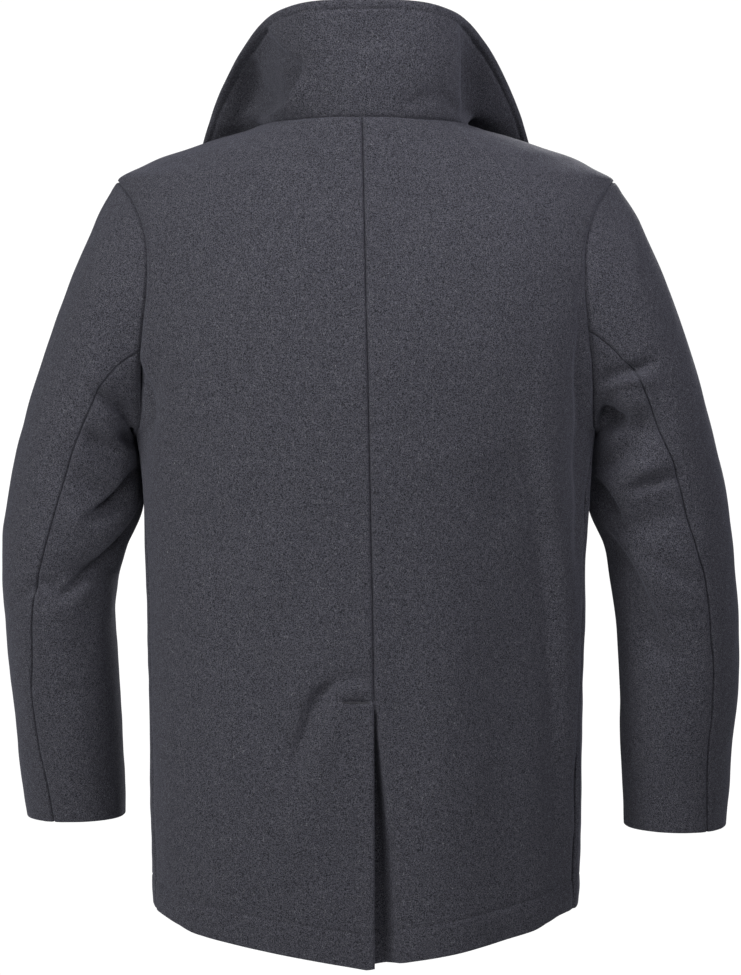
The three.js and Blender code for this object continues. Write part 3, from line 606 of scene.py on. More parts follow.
def wall_mesh(name, outer, inner, used):
    """One closed wall of cloth between two grids of places, of all cells or the used ones."""
    rows, columns = outer.shape[0] - 1, outer.shape[1] - 1
    used = np.ones((rows, columns), bool) if used is None else used
    index = np.arange((rows + 1) * (columns + 1)).reshape(rows + 1, columns + 1)
    count = index.size
    a, b, c, d = index[:-1, :-1], index[:-1, 1:], index[1:, 1:], index[1:, :-1]
    faces = [
        np.stack([a[used], b[used], c[used], d[used]], 1),
        np.stack([a[used], d[used], c[used], b[used]], 1) + count,
    ]
    padded = np.pad(used, 1)
    beside = (
        (b, a, padded[:-2, 1:-1]),
        (d, c, padded[2:, 1:-1]),
        (a, d, padded[1:-1, :-2]),
        (c, b, padded[1:-1, 2:]),
    )
    for first, second, neighbour in beside:
        rim = used & ~neighbour
        faces.append(np.stack([first[rim], second[rim], second[rim] + count, first[rim] + count], 1))
    quads = np.concatenate(faces)
    place = np.concatenate([outer.reshape(-1, 3), inner.reshape(-1, 3)])
    p0, p1, p2, p3 = (place[quads[:, k]] for k in range(4))
    volume = np.sum(p0 * np.cross(p1, p2)) + np.sum(p0 * np.cross(p2, p3))
    if volume < 0:
        quads = quads[:, ::-1]
    kept = np.unique(quads)
    renumber = np.zeros(len(place), int)
    renumber[kept] = np.arange(len(kept))
    return new_piece(name, place[kept], renumber[quads].tolist())


def body_rows():
    """Heights of the rows of a body panel from the hem to the neck, and the turn at the armhole."""
    near_hem = HEM_Z + np.array([0, 0.25, 0.7, 1.3, 2.2, 3.4])
    stitches = HEM_Z + HEM_TURN + STITCH_STEPS
    bar = VENT_TOP_Z - 1.2 + np.arange(-8, 9) * 0.9
    skirt = np.arange(HEM_Z + 7.5, ARMHOLE_BOTTOM_Z - 2, 3.6)
    close = np.concatenate([stitches, bar])
    skirt = skirt[np.min(np.abs(skirt[:, None] - close[None, :]), axis=1) > 1.4]
    skirt = np.sort(np.concatenate([near_hem, close, skirt]))
    turns = np.linspace(180, 0, 81)
    shoulder = np.linspace(ARMHOLE_TOP_Z, 0, 37)[1:]
    z = np.concatenate([skirt, armhole_z(turns), shoulder])
    turn = np.concatenate([np.full(len(skirt), 180.0), turns, np.zeros(len(shoulder))])
    row = np.arange(len(z)) - len(skirt)
    return z, turn, (row >= 0) & (row < len(turns))


ROW_Z, ROW_TURN, ROW_AT_ARM = body_rows()


def row_turns(behind):
    return ROW_TURN if behind else 360 - ROW_TURN


def edge_angles(behind):
    """Angle of each row's start: on the side seam, on the armhole, and on the shoulder seam."""
    at_arm = armhole_angle(row_turns(behind))
    return np.where(ROW_AT_ARM, at_arm, read(SIDE_LINE, "angle", ROW_Z))[:, None]


def panel(angle, source, behind):
    """Places, way of the wall, edge distances, and the dips of the seams and the hem's stitches."""
    z = ROW_Z[:, None]
    p = body_at(angle, np.broadcast_to(z, angle.shape))
    tangent = unit(body_at(angle[:, :1] + 0.5, z) - body_at(angle[:, :1] - 0.5, z))
    shift = tangent * 0.5 * SEAM_GAP * np.where(ROW_AT_ARM, 0, 1)[:, None, None]
    p[:, :1] += shift if behind else -shift
    far = edge_distances(p)
    # Square to the cloth, and the way of the rim that the sleeve shares at the armhole.
    rim = armhole_rim(source, row_turns(behind))[:, None, :]
    share = (np.exp(-((far["left"] / RIM_REACH) ** 2)) * ROW_AT_ARM[:, None])[..., None]
    wall = body_normal(p) * (1 - share) + rim * share
    dips = seam_dip(far["left"], *EDGE_SEAM) + seam_dip(far["last"], *EDGE_SEAM)
    dips = dips + stitch_dip(far["first"], HEM_TURN, far["left"], HEM_STITCH)
    return p, wall, far, dips


def back_fold(x, z):
    total = 0
    for fold_x, fold_z, depth, wide, tall, lean in BACK_FOLDS:
        across = (x - fold_x - lean * (z - fold_z)) / wide
        total = total + depth * np.exp(-(across**2) - ((z - fold_z) / tall) ** 4)
    return total


def hem_drop(p):
    """How far the hem hangs below its plain height: lowest at the centre back, higher at the sides."""
    low = smooth(-600, HEM_Z, p[..., 2])
    dip = np.where(p[..., 1] > 0, HEM_DIP * np.maximum(0, 1 - np.abs(p[..., 0]) / 172), 0)
    return low * (dip - HEM_SIDE_RISE * smooth(156, 204, np.abs(p[..., 0])))


def vent_drop(p, seam_x, z):
    """The right back turns in beside the vent and goes on, deeper, under the left one."""
    below = smooth(VENT_TOP_Z + 2, VENT_FOLD_Z, z)
    open_share = smooth(VENT_FOLD_Z, HEM_Z, z)
    turn_x = seam_x + VENT_OFF + VENT_OPENS * open_share
    near = smooth(turn_x + 4 + 12 * open_share, turn_x - 2, p[..., 0])
    sag = smooth(turn_x + VENT_SAG_WIDTH, turn_x, p[..., 0])
    deep = LAP_DROP + VENT_POCKET * smooth(VENT_TOP_Z, -600, z)
    return below * (near * deep + sag * VENT_SAG * smooth(VENT_TOP_Z, -640, z))


def turned(p, side):
    """The right side of the coat is worked out on the left and then mirrored."""
    return p * np.array([side, 1, 1])


BEHIND = (seen_from_behind, 1)
AHEAD = (seen_from_ahead, -1)


def dress(p, wall, side, dips, groups, seed):
    """Outer places of a piece, after its creases and its unevenness, and the way its wall leans."""
    p, wall = turned(p, side), turned(wall, side)
    inward = dips.copy()
    for creases, view, way in groups:
        weight = smooth(-0.1, 0.35, wall[..., 1] * way)
        inward += crease_depth(view(p), creases) * weight
    long, short = CLOTH_WAVES
    inward += ripple(p, *long, seed) + ripple(p, *short, seed + 1)
    return p - wall * inward[..., None], wall


def edge_pull(rounds, half):
    return np.max([fold_round(far, half) for far in rounds], axis=0)


def round_edges(outer, wall, thick, rounds):
    """Outer and inner grid, rounded off at each free edge."""
    pull = edge_pull(rounds, thick * 0.49)
    inner = outer - wall * (thick - pull)[..., None]
    return outer - wall * pull[..., None], inner


def back_panel(side, source):
    shares = spacing(*BACK_GRID)
    seam_column = len(shares) - 1
    z = ROW_Z[:, None]
    seam_x = read(CENTRE_BACK, "x", z) * side
    start = angle_of_x(seam_x + 0.5 * SEAM_GAP, z, True)
    edge = edge_angles(True)
    angle = edge + (start - edge) * shares[None, :]
    if side < 0:
        laps = np.linspace(2, VENT_UNDERLAP, 13)
        angle = np.concatenate([angle, angle_of_x(seam_x - laps[None, :], z, True)], 1)
    p, wall, far, dips = panel(angle, source, True)
    centre = far["left"][:, seam_column : seam_column + 1] - far["left"]
    fade = smooth(0, 24, far["left"]) * smooth(0, 44, np.abs(centre))
    below = smooth(VENT_TOP_Z + 3, VENT_TOP_Z - 3, z)
    dips = dips + back_fold(p[..., 0] * side, p[..., 2]) * fade
    dips = dips + seam_dip(np.abs(centre), *FLAT_SEAM) * (1 - below)
    if side < 0:
        dips = dips + vent_drop(p, seam_x, z)
        on_lap = np.arange(p.shape[1] - 1)[None, :] >= seam_column
        used = ~on_lap | (ROW_Z[1:, None] <= VENT_FOLD_Z + 1)
        vent_edge = far["right"]
    else:
        lift = smooth(VENT_TOP_Z, HEM_Z, z) * smooth(30, 0, centre)
        swell = np.exp(-(((centre - 4) / 4) ** 2)) * below
        dips = dips - VENT_LIFT * lift - VENT_SWELL * swell
        used = None
        vent_edge = centre
    groups = [(BACK_CREASES, *BEHIND)]
    outer, wall = dress(p, wall, side, dips, groups, SEEDS["back"] + side)
    outer[..., 2] -= hem_drop(p)
    free = [far["first"], vent_edge + NO_EDGE * (1 - below)]
    outer, inner = round_edges(outer, wall, CLOTH, free)
    return outer, inner, used


def front_panel(side, source):
    shares = spacing(*FRONT_GRID)
    z = ROW_Z[:, None]
    edge_x = read(FRONT_EDGE, "x", z)
    start = edge_angles(False)
    end = angle_of_x(edge_x, z, False)
    angle = start + (end - start) * shares[None, :]
    p, wall, far, dips = panel(angle, source, False)
    if side > 0:
        below_lapel = smooth(-268, -300, z)
        dips = dips + edge_stitch(far["right"], far["first"]) * below_lapel
    else:
        dips = dips + LAP_DROP * smooth(44 - edge_x, 4 - edge_x, p[..., 0])
    groups = [(FRONT_CREASES, *AHEAD)]
    outer, wall = dress(p, wall, side, dips, groups, SEEDS["front"] + side)
    outer[..., 2] -= hem_drop(p)
    outer, inner = round_edges(outer, wall, CLOTH, [far["first"], far["right"]])
    return outer, inner, None


def sleeve_part(side, source, folds, creases, is_top):
    shares = spacing(*(TOP_SLEEVE_GRID if is_top else UNDER_SLEEVE_GRID))
    arm_seam = LEFT_ARM_SEAM if side > 0 else RIGHT_ARM_SEAM
    near_arm = np.array([0, 0.004, 0.012, 0.024, 0.04, 0.06, 0.09])
    near_cuff = source["at"][-1] - np.array([0.16, 0.09, 0.055, 0.032, 0.016, 0.006, 0])
    upper = np.concatenate([np.arange(0.13, 1, 0.05), np.arange(1, 8, 0.06)])
    at = np.concatenate([near_arm, upper, np.arange(8, 13.8, 0.085), near_cuff])[:, None]
    seam = read(source, "seam", np.maximum(1, at))
    back = arm_seam + (seam - arm_seam) * smooth(0, 1, at)
    start = np.full_like(back, FRONT_SLEEVE_SEAM - 360) if is_top else back
    end = back if is_top else np.full_like(back, FRONT_SLEEVE_SEAM)
    turn = start + (end - start) * shares[None, :]
    at = np.broadcast_to(at, turn.shape)
    normal = sleeve_normal(source, at, turn)
    inward = fold_depth(folds, at, turn) + arm_rest(at, turn)
    p = sleeve_base(source, at, turn) - normal * inward[..., None]
    around = unit(sleeve_base(source, at, turn + 1) - sleeve_base(source, at, turn - 1))
    p[:, 0] += around[:, 0] * 0.5 * SEAM_GAP
    p[:, -1] -= around[:, -1] * 0.5 * SEAM_GAP
    away = unit(sleeve_base(source, np.full_like(turn[0], 0.3), turn[0]) - p[0])
    p += away[None] * SEAM_GAP * np.exp(-((at / 0.03) ** 2))[..., None]
    far = edge_distances(p)
    rim = armhole_rim(source, turn[0])
    share = np.exp(-((far["first"] / RIM_REACH) ** 2))[..., None]
    wall = normal * (1 - share) + rim[None] * share
    dips = seam_dip(far["first"], *ARMHOLE_SEAM)
    dips = dips + seam_dip(far["left"], *FLAT_SEAM) + seam_dip(far["right"], *FLAT_SEAM)
    groups = [(creases, *BEHIND), (mirror_creases(FRONT_ARM_CREASES, side), *AHEAD)]
    outer, wall = dress(p, wall, side, dips, groups, SEEDS["sleeve"] + side)
    plain = turned(p, side) - wall * dips[..., None]
    outer = plain + (outer - plain) * smooth(2, 16, far["first"])[..., None]
    outer, inner = round_edges(outer, wall, CLOTH, [far["last"]])
    return outer, inner, None


def mirror_creases(creases, side):
    for ax, az, mx, mz, bx, bz, depth, left, right in creases:
        near, far = (left, right) if side > 0 else (right, left)
        yield (ax * side, az, mx * side, mz, bx * side, bz, depth, near, far)


def on_front(x, z, lift):
    half, _, front, square = section(z)
    rest = np.maximum(0, 1 - (np.abs(x) / half) ** square)
    p = points(x, -front * rest ** (1 / square), z)
    return p + body_normal(p) * np.asarray(lift)[..., None]


def lapel(side):
    """A lapel rolls out of the front's edge and lies flat on the chest, up to the gorge."""
    rolled = np.linspace(0, LAPEL_ROLL["at"][-1], 34)
    shares = np.concatenate([np.zeros(len(rolled)), spacing(*LAPEL_GRID, stitched=True)[4:]])
    roll_at = np.concatenate([rolled, np.full(len(shares) - len(rolled), rolled[-1])])
    steps = spacing(*LAPEL_LONG_GRID, stitched=True)[:, None]
    foot_z = armhole_z(LEFT_FOOT_TURN)
    right_foot = (armhole_z(RIGHT_FOOT_TURN) - foot_z) / (LAPEL_HEAD_Z - foot_z)
    lowest = np.zeros_like(shares) if side > 0 else right_foot - RIGHT_FOOT_SLANT * shares
    row = lowest[None, :] + (1 - lowest[None, :]) * steps
    z = foot_z + (LAPEL_HEAD_Z - foot_z) * row
    roll = np.stack([read(FRONT_EDGE, "x", z), z], -1)
    edge = np.stack([read(LAPEL_EDGE, "x", row), read(LAPEL_EDGE, "z", row)], -1)
    width = np.linalg.norm(edge - roll, axis=-1)
    way = unit(edge - roll)
    is_rolled = np.arange(len(shares)) < len(rolled)
    reach = np.where(is_rolled, read(LAPEL_ROLL, "reach", roll_at), 1 + (width - 1) * shares)
    soft = read(LAPEL_ROLL, "soft", roll_at)
    tight = read(LAPEL_ROLL, "tight", roll_at)
    high = soft + (tight - soft) * smooth(0.4, 1, row)
    lift = high + (LAPEL_REST - high) * smooth(0, 0.6, shares)
    wall = np.where(is_rolled, read(LAPEL_ROLL, "wall", roll_at), LAPEL_WALL)
    place = roll + way * reach[..., None]
    p = on_front(place[..., 0], place[..., 1], lift)
    normal = grid_normals(p)
    outward = np.where(np.mean(normal[:, -8:, 1]) > 0, -1, 1)
    normal = normal * outward
    far = edge_distances(p)
    dips = edge_stitch(far["right"], far["first"]) + edge_stitch(far["last"], far["left"])
    dips = dips + ripple(p, *LAPEL_WAVES, SEEDS["lapel"] + side)
    dips = dips * smooth(0, 10, far["left"])
    middle = turned(p - normal * dips[..., None], side)
    normal = turned(normal, side)
    half = (wall / 2 - edge_pull(far.values(), LAPEL_ROUND))[..., None]
    return middle + normal * half, middle - normal * half, None


def collar_seam(at):
    """The collar's foot: on the body's neck, then along the gorge over the head of the lapel."""
    p = body_at(read(COLLAR, "seam", at), np.zeros_like(at))
    p[..., 2] += SEAM_GAP + GORGE_LIFT * smooth(GORGE_RISE, GORGE_START - 0.2, at)
    share = (at - GORGE_START) / (COLLAR["at"][-1] - GORGE_START) * GORGE_REACH
    share = np.clip(share, 0, 1)
    head_x = read(FRONT_EDGE, "x", LAPEL_HEAD_Z)
    edge_x, edge_z = LAPEL_EDGE["x"][-1], LAPEL_EDGE["z"][-1]
    gorge = on_front(head_x + (edge_x - head_x) * share, edge_z * share, np.full_like(share, GORGE_LIFT))
    gorge = gorge + np.array([0, -1, 1.5])
    return np.where((at <= GORGE_START)[..., None], p, gorge)


def collar_at(at, rise):
    """A place on the collar, on a bow from its seam by way of its middle to its edge."""
    seam = collar_seam(at)
    middle = points(*(read(COLLAR, "mid" + k, at) for k in "XYZ"))
    edge = points(*(read(COLLAR, "edge" + k, at) for k in "XYZ"))
    rise = rise[..., None]
    return (
        seam * (1 - rise) * (1 - 2 * rise)
        + middle * 4 * rise * (1 - rise)
        + edge * rise * (2 * rise - 1)
    )


def collar():
    """The collar stands up round the neck and its two wings flare out over the shoulders."""
    below_seam = [-0.055, -0.035, -0.015]
    rises = np.concatenate([below_seam, spacing(*COLLAR_RISE_GRID, stitched=True)])[:, None]
    corner = COLLAR["at"][-1]
    along = spacing(*COLLAR_LONG_GRID, stitched=True) * 2 * corner - corner
    at = np.broadcast_to(np.abs(along), (len(rises), len(along)))
    side = np.where(along < 0, -1, 1)
    rise = np.broadcast_to(rises, at.shape)
    p = collar_at(at, rise)
    p[..., 0] *= side
    kernel = np.hanning(2 * COLLAR_SOFTEN + 3)[1:-1]
    kernel /= kernel.sum()
    ends = ((0, 0), (COLLAR_SOFTEN, COLLAR_SOFTEN), (0, 0))
    padded = np.pad(p, ends, mode="reflect", reflect_type="odd")
    p = sum(k * padded[:, i : i + p.shape[1]] for i, k in enumerate(kernel))
    normal = grid_normals(p)
    middle = len(along) // 2
    normal = normal * np.where(normal[len(rises) // 2, middle, 1] < 0, -1, 1)
    far = edge_distances(p)
    edge_gap = np.minimum(far["last"], np.minimum(far["left"], far["right"]))
    joined = smooth(GORGE_START, COLLAR_SEWN_TO, at)
    dips = edge_stitch(edge_gap, far["left"] + far["last"])
    dips = dips + seam_dip(np.abs(far["first"] - 5), *COLLAR_SEAM) * joined
    fade = smooth(5 * joined, 12 + 7 * joined, far["first"]) * smooth(0, 10, edge_gap)
    shaped = crease_depth(seen_from_behind(p), COLLAR_CREASES) * smooth(-0.6, 0.0, normal[..., 1])
    dips = dips + shaped * fade
    for seed, waves in enumerate(COLLAR_WAVES, SEEDS["collar"]):
        dips = dips + ripple(p, *waves, seed)
    outer = p - normal * dips[..., None]
    outer, inner = round_edges(outer, normal, COLLAR_WALL, [far["last"], far["left"], far["right"]])
    return outer, inner, None


BUTTON_FACE = table(
    "r h", (0, 3.3), (8.6, 3.3), (10.2, 3.5), (11.4, 4.4), (12.4, 4.6), (13.4, 4.5), (14.1, 4.0)
)
BUTTON_SIDE = table(
    "r h", (14.45, 3.4), (14.5, 2.6), (14.5, 1.4), (14.3, 0.7), (13.6, 0.15), (12.6, 0)
)


def button_piece(name, x, z):
    """A four-hole button with a raised rim: a round grid with its dish and its four wells."""
    radii = np.concatenate([np.linspace(0.25, 5.6, 22), np.linspace(6, 14.1, 24)])
    turns = np.linspace(0, 2 * math.pi, 73)[:-1]
    r, a = np.meshgrid(radii, turns, indexing="ij")
    height = read(BUTTON_FACE, "h", r)
    for corner in (45, 135, 225, 315):
        hole = math.radians(corner)
        hole_x, hole_y = HOLE_CIRCLE * math.cos(hole), HOLE_CIRCLE * math.sin(hole)
        far = np.hypot(r * np.cos(a) - hole_x, r * np.sin(a) - hole_y)
        height = height - HOLE_DEPTH * smooth(1.55, 1.05, far)
    side_r, side_a = np.meshgrid(BUTTON_SIDE["r"], turns, indexing="ij")
    side_height = np.repeat(BUTTON_SIDE["h"][:, None], len(turns), 1)
    r, a = np.concatenate([r, side_r]), np.concatenate([a, side_a])
    height = np.concatenate([height, side_height])
    place = np.stack([r * np.cos(a), r * np.sin(a), height], -1).reshape(-1, 3)
    rings, count = r.shape
    faces = []
    for i in range(rings - 1):
        for j in range(count):
            k = (j + 1) % count
            faces.append((i * count + j, (i + 1) * count + j, (i + 1) * count + k, i * count + k))
    faces.append(tuple(range(count)))
    faces.append(tuple(reversed(range((rings - 1) * count, rings * count))))
    base = on_front(np.array(x), np.array(z), np.array(SEAM_GAP))
    out = body_normal(on_front(np.array(x), np.array(z), np.array(0.0)))
    up = unit(np.array([0, 0, 1]) - out * out[2])
    right = np.cross(up, out)
    spot = base + place[:, :1] * right + place[:, 1:2] * up + place[:, 2:] * out
    return new_piece(name, spot, faces), (base, right, up, out)


def tube(line, radius, sides, closed=False):
    """A round thread along a line of places."""
    line = np.array(line, float)
    ahead = np.roll(line, -1, 0) - np.roll(line, 1, 0) if closed else np.gradient(line, axis=0)
    ahead = unit(ahead)
    guide = unit(np.cross(ahead, np.array([0.31, 0.87, 0.39])))
    other = np.cross(ahead, guide)
    rings = []
    for k in range(sides):
        a = 2 * math.pi * k / sides
        rings.append(line + radius * (math.cos(a) * guide + math.sin(a) * other))
    place = np.stack(rings, 1).reshape(-1, 3)
    faces = []
    last = len(line) if closed else len(line) - 1
    for i in range(last):
        n = (i + 1) % len(line)
        for k in range(sides):
            m = (k + 1) % sides
            faces.append((i * sides + k, i * sides + m, n * sides + m, n * sides + k))
    if not closed:
        faces.append(tuple(range(sides))[::-1])
        faces.append(tuple(range((len(line) - 1) * sides, len(line) * sides)))
    return place, faces


def thread_piece(name, tubes):
    """Several threads as one piece."""
    places, faces, start = [], [], 0
    for place, loops in tubes:
        places.append(place)
        faces += [tuple(v + start for v in f) for f in loops]
        start += len(place)
    return new_piece(name, np.concatenate(places), faces)


def button_threads(name, place):
    """Two flat strands of three threads each, that dive into the button's holes."""
    base, right, up, out = place
    tubes = []
    for x in (-2.05, 2.05):
        for shift in (-0.35, 0.0, 0.35):
            t = np.linspace(-1, 1, 15)
            dive = np.clip(np.abs(t) - 0.72, 0, 1) ** 1.5 / 0.28**1.5
            rise = 3.55 - 1.9 * dive + 0.25 * (1 - t**2)
            line = base + (x + shift) * right + (t * 2.6)[:, None] * up + rise[:, None] * out
            tubes.append(tube(line, 0.3, 6))
    return thread_piece(name, tubes)


GREY = ((0.0, 0.0, 0.0), (1.0, 1.0, 1.0))


def nodes_of(name):
    material = bpy.data.materials.new(name)
    material.use_nodes = True
    tree = material.node_tree
    return material, tree, tree.nodes["Principled BSDF"]


def set_sockets(node, values):
    for socket, value in values.items():
        node.inputs[socket].default_value = value


def add_node(tree, kind, **sockets):
    node = tree.nodes.new(kind)
    set_sockets(node, sockets)
    return node


def noise(tree, place, scale, detail=2.0, rough=0.5):
    node = add_node(tree, "ShaderNodeTexNoise", Scale=scale, Detail=detail, Roughness=rough)
    tree.links.new(place, node.inputs["Vector"])
    return node.outputs["Fac"]


def ramp(tree, value, low, high, colours):
    node = tree.nodes.new("ShaderNodeValToRGB")
    node.color_ramp.elements[0].position = low
    node.color_ramp.elements[1].position = high
    node.color_ramp.elements[0].color = (*colours[0], 1)
    node.color_ramp.elements[1].color = (*colours[1], 1)
    tree.links.new(value, node.inputs["Fac"])
    return node.outputs["Color"]


def mix(tree, share, a, b, how="MIX"):
    node = tree.nodes.new("ShaderNodeMix")
    node.data_type = "RGBA"
    node.blend_type = how
    if isinstance(share, float):
        node.inputs["Factor"].default_value = share
    else:
        tree.links.new(share, node.inputs["Factor"])
    for value, socket in ((a, node.inputs["A"]), (b, node.inputs["B"])):
        if isinstance(value, tuple):
            socket.default_value = (*value, 1)
        else:
            tree.links.new(value, socket)
    return node.outputs["Result"]


def stretched(tree, place, turn, scale):
    node = tree.nodes.new("ShaderNodeMapping")
    node.inputs["Rotation"].default_value = turn
    node.inputs["Scale"].default_value = scale
    tree.links.new(place, node.inputs["Vector"])
    return node.outputs["Vector"]


def object_place(tree):
    return tree.nodes.new("ShaderNodeTexCoord").outputs["Object"]


def relief(tree, shader, height, strength, distance):
    bump = add_node(tree, "ShaderNodeBump", Strength=strength, Distance=distance)
    tree.links.new(height, bump.inputs["Height"])
    tree.links.new(bump.outputs["Normal"], shader.inputs["Normal"])


def wool_material():
    """Thick fulled wool: matted short nap, a felted grain of two lengths, and stray pale fibres."""
    material, tree, shader = nodes_of("wool_cloth")
    place = object_place(tree)
    grain = noise(tree, place, 1150.0, 2.0, 0.6)
    clumps = noise(tree, place, 480.0, 2.0, 0.5)
    patches = noise(tree, place, 12.0, 2.0, 0.5)
    base = ramp(tree, grain, 0.36, 0.66, ((0.0035, 0.0035, 0.005), (0.0645, 0.0645, 0.079)))
    tuft = ramp(tree, clumps, 0.32, 0.70, ((0.92, 0.92, 0.92), (1.08, 1.08, 1.08)))
    broad = ramp(tree, patches, 0.30, 0.72, ((0.98, 0.98, 0.985), (1.02, 1.02, 1.015)))
    base = mix(tree, 1.0, base, tuft, "MULTIPLY")
    base = mix(tree, 1.0, base, broad, "MULTIPLY")
    fibres = None
    for turn, scale in (
        ((0.4, 0.2, 0.3), (2600.0, 2600.0, 420.0)),
        ((1.3, 0.5, 1.1), (2600.0, 440.0, 2600.0)),
        ((0.2, 1.2, 2.1), (440.0, 2600.0, 2600.0)),
    ):
        line = noise(tree, stretched(tree, place, turn, scale), 1.0, 1.0, 0.5)
        line = ramp(tree, line, 0.66, 0.74, GREY)
        fibres = line if fibres is None else mix(tree, 1.0, fibres, line, "LIGHTEN")
    where = ramp(tree, noise(tree, place, 260.0, 2.0, 0.6), 0.40, 0.70, GREY)
    fibres = mix(tree, 1.0, fibres, where, "MULTIPLY")
    base = mix(tree, fibres, base, (0.19, 0.192, 0.205))
    tree.links.new(base, shader.inputs["Base Color"])
    set_sockets(shader, {"Roughness": 0.92, "Specular IOR Level": 0.18, "Sheen Weight": 0.08})
    set_sockets(shader, {"Sheen Roughness": 0.5, "Sheen Tint": (0.78, 0.8, 1.0, 1.0)})
    relief(tree, shader, mix(tree, 0.45, grain, clumps), 0.75, 0.0011)
    return material


def button_material():
    """Dark horn with a soft cloud in it and fine scratches."""
    material, tree, shader = nodes_of("button_dark")
    place = object_place(tree)
    cloud = noise(tree, place, 90.0, 4.0, 0.6)
    scratch = noise(tree, stretched(tree, place, (0.2, 0.1, 0.6), (2400.0, 160.0, 900.0)), 1.0, 2.0)
    colour = ramp(tree, cloud, 0.3, 0.7, ((0.006, 0.006, 0.008), (0.014, 0.014, 0.017)))
    rough = ramp(tree, scratch, 0.3, 0.75, ((0.32, 0.32, 0.32), (0.5, 0.5, 0.5)))
    tree.links.new(colour, shader.inputs["Base Color"])
    tree.links.new(rough, shader.inputs["Roughness"])
    relief(tree, shader, scratch, 0.15, 0.0002)
    return material


def thread_material():
    """Dark twisted thread."""
    material, tree, shader = nodes_of("thread_dark")
    place = object_place(tree)
    twist = noise(tree, stretched(tree, place, (0.7, 0.3, 0.5), (2600.0, 2600.0, 900.0)), 1.0, 2.0)
    colour = ramp(tree, twist, 0.35, 0.65, ((0.011, 0.011, 0.014), (0.036, 0.036, 0.043)))
    tree.links.new(colour, shader.inputs["Base Color"])
    shader.inputs["Roughness"].default_value = 0.7
    relief(tree, shader, twist, 0.4, 0.0003)
    return material


def bar_stitch():
    """The short bar of stitches that holds the top of the vent."""
    tubes = []
    for x in np.arange(-4.5, 21.5, 1.0):
        t = np.linspace(0, 1, 5)
        angle = angle_of_x(np.full(5, x), np.full(5, VENT_TOP_Z), True)
        base = body_at(angle, VENT_TOP_Z - 3.2 + 1.7 * t + 0.25 * math.sin(x * 1.7))
        normal = body_normal(base)
        line = base + normal * (-0.6 + 0.5 * np.sin(math.pi * t))[:, None]
        line[:, 0] += 0.35 * t
        tubes.append(tube(line, 0.35, 5))
    return thread_piece("vent_bar_stitch", tubes)


def buttonhole(name, x, z):
    """A plain worked buttonhole: a ring of thread round a narrow slit, under the button's edge."""
    t = np.linspace(0, 2 * math.pi, 61)[:-1]
    tubes = []
    for half, lift in ((1.5, 0.25), (0.7, 0.35)):
        across = 12.5 * np.sign(np.cos(t)) * np.abs(np.cos(t)) ** 0.5
        high = half * np.sin(t)
        line = on_front(x + across, z + high, np.full(len(t), lift))
        tubes.append(tube(line, 0.55, 6, closed=True))
    return thread_piece(name, tubes)


def put_on(piece, material):
    piece.data.materials.append(material)
    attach(piece, "root")


def finish_cloth(node, grids, material):
    piece = wall_mesh(f"{node}_cloth", *grids)
    put_on(piece, material)
    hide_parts(node)


def declare_cuts():
    carried = {"front_left": [], "front_right": [], "back_left": ["vent_bar_stitch"]}
    for row in range(1, len(BUTTON_ROWS) + 1):
        for word in ("left", "right"):
            carried[f"front_{word}"] += [f"button_{word}_{row}_disc", f"button_{word}_{row}_thread"]
    carried["front_left"] += [f"buttonhole_{row}" for row in range(1, len(BUTTON_ROWS) + 1)]


def build_coat():
    wool, dark, thread = wool_material(), button_material(), thread_material()
    sides = (
        ("left", 1, SLEEVE_LEFT, FOLDS_LEFT, LEFT_ARM_CREASES),
        ("right", -1, SLEEVE_RIGHT, FOLDS_RIGHT, RIGHT_ARM_CREASES),
    )
    for word, side, source, folds, creases in sides:
        finish_cloth(f"back_{word}", back_panel(side, source), wool)
        finish_cloth(f"front_{word}", front_panel(side, source), wool)
        top = sleeve_part(side, source, folds, creases, True)
        under = sleeve_part(side, source, folds, creases, False)
        finish_cloth(f"top_sleeve_{word}", top, wool)
        finish_cloth(f"under_sleeve_{word}", under, wool)
        finish_cloth(f"lapel_{word}", lapel(side), wool)
    finish_cloth("collar", collar(), wool)
    for row, z in enumerate(BUTTON_ROWS, 1):
        for word, x in (("left", BUTTON_X), ("right", -BUTTON_X)):
            piece, place = button_piece(f"button_{word}_{row}_disc", x, z)
            put_on(piece, dark)
            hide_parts(f"button_{word}_{row}")
            put_on(button_threads(f"button_{word}_{row}_thread", place), thread)
        put_on(buttonhole(f"buttonhole_{row}", -BUTTON_X + HOLE_SHIFT, z), thread)
    put_on(bar_stitch(), thread)
    declare_cuts()


# The studio, in metres: its floor, how bright the surround is to the camera, where the sky that
# lights the coat is brightest, and how its strength follows the way towards that place.
FLOOR_Z = -1.45
FLOOR_RADIUS = 2.5
FLOOR_SIDES = 96
FLOOR_GLOW = 0.16
SURROUND = 1.05
SKY_SIDE = (0.62, 0.42, 0.66)
SKY_LEVELS = {"From Min": -0.6, "From Max": 1.0, "To Min": 0.02, "To Max": 0.09}

# Lamps: name, place, what it points at, size in metres, watts and colour.
WHITE = (1, 1, 1)
COOL = (0.96, 0.95, 1.0)
BACK_TARGET = (0.0, 0.07, -0.25)
FRONT_TARGET = (0.0, -0.05, -0.35)
LAMPS = (
    ("key_light", (1.5, 1.26, 1.05), BACK_TARGET, 0.6, 39, WHITE),
    ("side_light", (0.62, 1.05, -0.3), BACK_TARGET, 0.5, 6.2, WHITE),
    ("top_light", (-0.55, 0.6, 0.5), BACK_TARGET, 0.5, 8.2, COOL),
    ("fill_light", (-0.3, 1.2, 0.4), BACK_TARGET, 0.5, 4.2, COOL),
    ("front_light", (-0.7, -2.2, 0.9), FRONT_TARGET, 0.9, 55, WHITE),
)


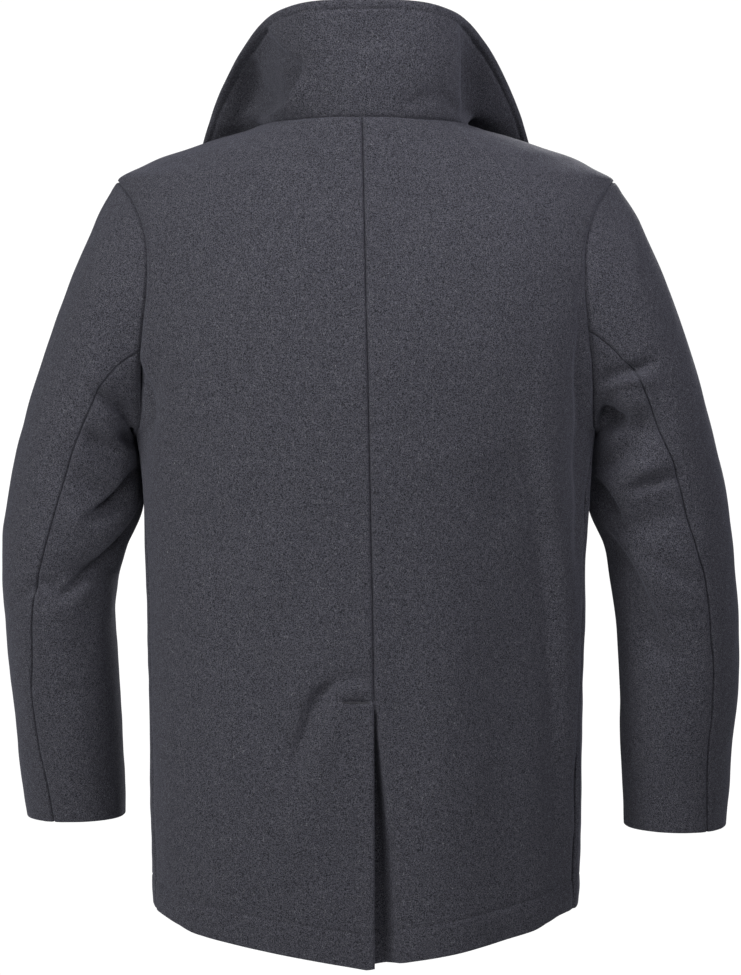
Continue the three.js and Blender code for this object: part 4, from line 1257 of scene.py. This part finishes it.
def area_light(name, place, target, size, watts, colour):
    data = bpy.data.lights.new(name, "AREA")
    data.shape = "SQUARE"
    data.size = size
    data.energy = watts
    data.color = colour
    lamp = bpy.data.objects.new(name, data)
    lamp.visible_camera = False
    lamp.location = place
    lamp.rotation_euler = (Vector(target) - Vector(place)).to_track_quat("-Z", "Y").to_euler()
    bpy.context.scene.collection.objects.link(lamp)


def studio():
    """A pale floor where the wearer would stand, five lamps, and a surround that the camera sees
    as white and that lights the coat as a faint sky, brighter at one side."""
    turns = np.linspace(0, 2 * math.pi, FLOOR_SIDES + 1)[:-1]
    rim = [(FLOOR_RADIUS * math.cos(t), FLOOR_RADIUS * math.sin(t), FLOOR_Z) for t in turns]
    mesh = bpy.data.meshes.new("studio_floor")
    mesh.from_pydata(rim, [], [tuple(range(FLOOR_SIDES))])
    floor = bpy.data.objects.new("studio_floor", mesh)
    bpy.context.scene.collection.objects.link(floor)
    material, tree, shader = nodes_of("pale_floor")
    set_sockets(shader, {"Base Color": (0.9, 0.9, 0.9, 1), "Roughness": 0.8})
    set_sockets(shader, {"Emission Color": (1, 1, 1, 1), "Emission Strength": FLOOR_GLOW})
    mesh.materials.append(material)
    world = bpy.data.worlds.new("studio")
    bpy.context.scene.world = world
    world.use_nodes = True
    tree = world.node_tree
    surround = tree.nodes["Background"]
    set_sockets(surround, {"Color": (1, 1, 1, 1), "Strength": SURROUND})
    soft = tree.nodes.new("ShaderNodeBackground")
    soft.inputs["Color"].default_value = (0.94, 0.96, 1.0, 1)
    way = tree.nodes.new("ShaderNodeTexCoord").outputs["Generated"]
    lean = tree.nodes.new("ShaderNodeVectorMath")
    lean.operation = "DOT_PRODUCT"
    lean.inputs[1].default_value = Vector(SKY_SIDE).normalized()
    tree.links.new(way, lean.inputs[0])
    level = tree.nodes.new("ShaderNodeMapRange")
    set_sockets(level, SKY_LEVELS)
    tree.links.new(lean.outputs["Value"], level.inputs["Value"])
    tree.links.new(level.outputs["Result"], soft.inputs["Strength"])
    seen = tree.nodes.new("ShaderNodeLightPath").outputs["Is Camera Ray"]
    both = tree.nodes.new("ShaderNodeMixShader")
    tree.links.new(seen, both.inputs[0])
    tree.links.new(soft.outputs[0], both.inputs[1])
    tree.links.new(surround.outputs[0], both.inputs[2])
    tree.links.new(both.outputs[0], tree.nodes["World Output"].inputs["Surface"])
    for name, place, target, size, watts, colour in LAMPS:
        area_light(name, place, target, size, watts, colour)
    bpy.context.scene.view_settings.view_transform = "Standard"


def camera():
    """The picture's eye: level with the upper back, tipped down to the middle of the picture."""
    focal_px, picture_px, sensor_mm = 2421.0, 975.0, 36.0
    aim_x_px, aim_z_px = -4.5, -107.5
    data = bpy.data.cameras.new("picture_camera")
    data.lens = sensor_mm * focal_px / picture_px
    data.sensor_width = sensor_mm
    eye = bpy.data.objects.new("picture_camera", data)
    eye.location = (0, EYE_Y * MM, EYE_Z * MM)
    way = Vector((aim_x_px, -focal_px, aim_z_px))
    eye.rotation_euler = way.to_track_quat("-Z", "Y").to_euler()
    bpy.context.scene.collection.objects.link(eye)
    bpy.context.scene.camera = eye


build_coat()
studio()
camera()
